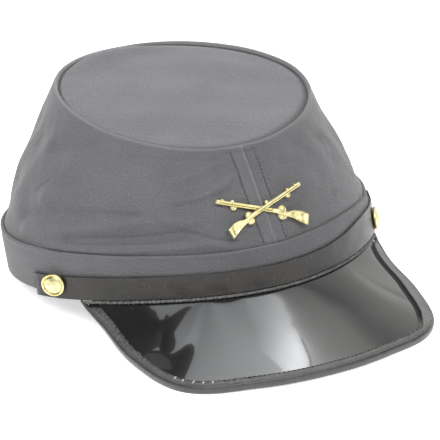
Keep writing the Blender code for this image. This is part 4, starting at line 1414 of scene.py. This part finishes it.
def build_badge(material):
    """Two crossed rifles, the mirrored one in front."""
    here, normal = spot_on(crown_point, BADGE_ANGLE, BADGE_HEIGHT, 0.001, 0.001)
    placing = facing(here + normal * BADGE_OFF_CLOTH, normal)
    shapes = []
    for rifle in RIFLES:
        turn = np.array(Matrix.Rotation(radians(rifle.turn_deg), 3, "Z"))
        size = np.array((-rifle.size if rifle.mirrored else rifle.size, rifle.size, 1.0))
        for sections in rifle_shapes(rifle):
            points = (sections - np.array((rifle.crossing_along, 0.0, 0.0))) * size
            shapes.append(placed(placing, (points @ turn.T + np.array((0.0, 0.0, rifle.lift))) * MM))
    verts, faces = capped_shapes(shapes)
    badge = mesh_piece("crossed_rifles", verts, faces, material, "brass", ("crossed_rifles_badge",))
    badge.data.set_sharp_from_angle(angle=radians(38))
    return badge


# ---- stage ----

# The camera stands in the cap's own frame; its offsets are in mm across and up its own picture.
CAMERA_TURN = radians(-25.59)
CAMERA_RISE = radians(18.70)
CAMERA_ROLL = radians(-3.65)
CAMERA_ACROSS = 15.77 * MM
CAMERA_UP = 10.47 * MM
CAMERA_AWAY = 1319.67 * MM
CAMERA_LENS = 202.09
LIGHTS_AIM_AT = 40 * MM


def build_camera():
    turn, rise, roll = CAMERA_TURN, CAMERA_RISE, CAMERA_ROLL
    back = Vector((sin(turn) * cos(rise), -cos(turn) * cos(rise), sin(rise)))
    right = Vector((cos(turn), sin(turn), 0.0))
    up = back.cross(right)
    across, upward = right * cos(roll) + up * sin(roll), up * cos(roll) - right * sin(roll)
    placing = Matrix((across, upward, back)).transposed().to_4x4()
    placing.translation = across * CAMERA_ACROSS + upward * CAMERA_UP + back * CAMERA_AWAY
    data = bpy.data.cameras.new("camera")
    data.lens, data.sensor_width, data.sensor_fit = CAMERA_LENS, 36.0, "AUTO"
    data.clip_start, data.clip_end = 0.05, 50.0
    camera = add_object("camera", data)
    camera.matrix_world = rest_matrix() @ placing
    bpy.context.scene.camera = camera


FLOOR_HALF = 12.0
FLOOR_DROP = -0.2 * MM
BACKDROP_RADIUS = 11.5
BACKDROP_HEIGHT = 14.0
BACKDROP_SIDES = 48


def build_floor(material):
    """A wide floor, and a round backdrop that only the camera sees."""
    square = [(x * FLOOR_HALF, y * FLOOR_HALF, FLOOR_DROP) for x, y in ((-1, -1), (1, -1), (1, 1), (-1, 1))]
    add_object("floor", new_mesh("floor", square, [(0, 1, 2, 3)], material))
    turns = 2 * pi * np.arange(BACKDROP_SIDES) / BACKDROP_SIDES
    wall = around(turns[:, None], BACKDROP_RADIUS, np.array((FLOOR_DROP, BACKDROP_HEIGHT))).reshape(-1, 3)
    faces = grid_faces(BACKDROP_SIDES, 2, True, False)[0]
    backdrop = add_object("backdrop", new_mesh("backdrop", wall.tolist(), faces.tolist(), material))
    backdrop.visible_diffuse = backdrop.visible_glossy = backdrop.visible_shadow = False


def direction(turn_deg, rise_deg):
    """The way from the cap towards a turn round it (0 in front, + to its left) and a rise."""
    turn, rise = radians(turn_deg), radians(rise_deg)
    return Vector((sin(turn) * cos(rise), -cos(turn) * cos(rise), sin(rise)))


def area_light(name, turn_deg, rise_deg, distance, width, height, power, glossy=True):
    """A soft light aimed at the cap."""
    data = bpy.data.lights.new(name, "AREA")
    data.shape, data.size, data.size_y, data.energy = "RECTANGLE", width, height, power
    item = add_object(name, data)
    away = direction(turn_deg, rise_deg)
    item.location = away * distance + Vector((0.0, 0.0, LIGHTS_AIM_AT))
    item.rotation_euler = away.to_track_quat("Z", "Y").to_euler()
    item.visible_glossy, item.visible_camera = glossy, False


# Glowing cards that the peak mirrors, each a patch of the sky round the cap between a lower and an
# upper edge of (turn, rise) spots in degrees.  A card glows by base + rise_glow * turn_glow, which
# run from its lower to its upper edge and from its first to its last spot.
Card = namedtuple("Card", "low high base rise_glow turn_glow distance tint")
COOL = (0.96, 0.985, 1.0)
WARM = (1.0, 0.985, 0.96)
BRIGHT_EDGE = ((92, 66), (105, 62.5), (117, 60.3), (128, 56.5), (136, 51.3), (141, 47.3), (144, 45.5))
WINDOW_EDGE = BRIGHT_EDGE + (
    (150, 43), (160.6, 43), (161.3, 56), (162.5, 59.3), (165, 60.6), (168, 59.6), (170.2, 56.3),
    (171.4, 53.3), (171.9, 52.5), (173.2, 56), (176, 58.8), (181.0, 61.4), (183.4, 63), (184, 66),
    (183.4, 73), (182.6, 79),
)
WINDOW_TOP = ((92, 78), (105, 79), (117, 80), (128, 82), (136, 84), (141, 86)) + tuple(
    (turn, 88) for turn, _ in WINDOW_EDGE[6:]
)
CEILING_EDGE = (
    (182.5, 79.3), (190, 79.6), (196, 79), (199.5, 73.3), (201.6, 69.6), (206, 70.6), (224, 72.8),
    (240, 71.8), (256, 71),
)
BAND_EDGE = (
    (92, 52), (105, 50), (113, 47), (120, 44.3), (126, 41.8), (131, 40.4), (135.5, 38.6), (138, 37.6),
    (146, 35),
)
RIGHT_TOP = (
    (92, 66), (105, 62.4), (113, 61.2), (120, 59.3), (126, 57.3), (131, 54.7), (137, 50.2), (141, 47.0),
    (146, 44.5),
)


def level_edge(edge, rise):
    """The turns of an edge, all at one rise."""
    return tuple((turn, rise) for turn, _ in edge)


CARDS = {
    "card_window": Card(
        WINDOW_EDGE, WINDOW_TOP, 0.0,
        ((0.0, 2.3), (0.15, 2.2), (0.5, 1.9), (0.8, 1.75), (0.92, 1.5), (0.97, 0.3), (1.0, 0.2)),
        ((0.0, 0.95), (0.18, 1.0), (0.27, 1.12), (0.31, 1.02), (0.345, 0.8), (0.38, 0.72),
         (0.46, 0.85), (0.56, 0.86), (0.66, 0.66), (1.0, 0.62)), 2.6, COOL,
    ),
    "card_streak": Card(
        BRIGHT_EDGE, tuple((turn, rise + 12) for turn, rise in BRIGHT_EDGE), 2.2,
        ((0.0, 0.5), (0.05, 0.95), (0.12, 1.0), (0.25, 0.72), (0.5, 0.3), (0.8, 0.06), (1.0, 0.0)),
        ((0.0, 0.7), (0.3, 1.6), (0.5, 2.3), (0.7, 4.8), (0.88, 5.9), (1.0, 4.0)), 2.55, COOL,
    ),
    "card_ceiling": Card(
        CEILING_EDGE, level_edge(CEILING_EDGE, 89), 0.0,
        ((0.0, 1.5), (1.0, 1.5)), ((0.0, 1.0), (1.0, 1.0)), 2.6, COOL,
    ),
    "card_right": Card(
        BAND_EDGE, RIGHT_TOP, 0.0,
        ((0.0, 0.38), (0.1, 0.42), (0.24, 0.92), (0.42, 1.05), (0.7, 1.15), (0.86, 1.3), (0.95, 1.9),
         (1.0, 2.8)),
        ((0.0, 0.9), (0.4, 1.0), (1.0, 1.0)), 2.6, WARM,
    ),
    "card_low": Card(
        level_edge(BAND_EDGE, 3), BAND_EDGE, 0.0,
        ((0.0, 0.95), (0.4, 0.95), (0.52, 0.98), (0.6, 1.22), (0.67, 0.85), (0.8, 0.74), (0.93, 0.62),
         (1.0, 0.38)),
        ((0.0, 1.0), (1.0, 1.0)), 2.6, WARM,
    ),
}
CARD_STEPS = 72


def glow_curve(tree, value, stops):
    """A smooth curve of glow through (place, glow) stops."""
    brightest = max(glow for _, glow in stops)
    made = node(tree, "ShaderNodeValToRGB", {0: value})
    made.color_ramp.interpolation = "B_SPLINE" if len(stops) > 3 else "LINEAR"
    elements = made.color_ramp.elements
    while len(elements) < len(stops):
        elements.new(1.0)
    for element, (place, glow) in zip(elements, stops):
        element.position = place
        element.color = (glow / brightest,) * 3 + (1.0,)
    return times(tree, made.outputs[0], brightest)


def glow_material(name, card):
    material = bpy.data.materials.new(name)
    material.use_nodes = True
    tree = material.node_tree
    tree.nodes.clear()
    turn, rise = node(tree, "ShaderNodeSeparateXYZ", {0: uv_place(tree, "card")}).outputs[:2]
    glow = times(tree, glow_curve(tree, turn, card.turn_glow), glow_curve(tree, rise, card.rise_glow))
    glow = maths(tree, "ADD", glow, card.base)
    emit = node(tree, "ShaderNodeEmission", {"Color": (*card.tint, 1.0), "Strength": glow})
    out = node(tree, "ShaderNodeOutputMaterial")
    tree.links.new(emit.outputs[0], out.inputs["Surface"])
    return material


def build_card(name, card):
    """One glowing card, a grid of faces between its two edges."""
    part = np.linspace(0, 1, CARD_STEPS + 1)
    low, high = (
        np.stack([np.interp(part, np.linspace(0, 1, len(edge)), column) for column in zip(*edge)], axis=-1)
        for edge in (card.low, card.high)
    )
    rise = part[:, None]
    spots = low[:, None] * (1 - rise) + high[:, None] * rise
    points = [direction(*spot) * card.distance for spot in spots.reshape(-1, 2)]
    quads, corner_spots = grid_faces(len(part), len(part), False, False)
    mesh = new_mesh(name, points, quads.tolist(), glow_material(name, card))
    layer = mesh.uv_layers.new(name="card")
    layer.uv.foreach_set("vector", (corner_spots / CARD_STEPS).astype(np.float32).ravel())
    item = add_object(name, mesh)
    item.visible_camera = False


def build_lights():
    world = bpy.data.worlds.new("studio")
    world.use_nodes = True
    sky = world.node_tree.nodes["Background"]
    sky.inputs["Color"].default_value = WHITE
    sky.inputs["Strength"].default_value = 0.04
    bpy.context.scene.world = world
    for name, card in CARDS.items():
        build_card(name, card)
    area_light("front", -5, 52, 2.2, 2.6, 1.3, 60.0)
    area_light("left", -105, 42, 2.0, 1.0, 0.9, 22.0, glossy=False)
    area_light("back_fill", 165, 35, 2.4, 2.0, 1.4, 20.0, glossy=False)
    bpy.context.scene.view_settings.view_transform = "Standard"


def main():
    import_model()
    build_camera()
    side_cloth = cloth_material("side_twill", 0.136, 0.12, 0.9)
    # The top's twill is the same cloth as the side's, given a lighter base as painted light from above.
    top_cloth = cloth_material("top_twill_painted_lighter", 0.182, 0.28, 0.7)
    dark, pale = thread_material("dark_thread", 0.02), thread_material("pale_thread", 0.55)
    brass = brass_material()
    side, stitches = build_crown_side(side_cloth), seam_stitches(dark)
    build_crown_top(top_cloth)
    build_band(side_cloth)
    build_strap(strap_material())
    build_peak(patent_material())
    build_binding(edging_material())
    dark_stitches(dark)
    pale_stitches(pale)
    build_welt(welt_material())
    for name in BUTTONS:
        build_button(name, brass)
    build_badge(brass)
    build_floor(floor_material())
    build_lights()


main()
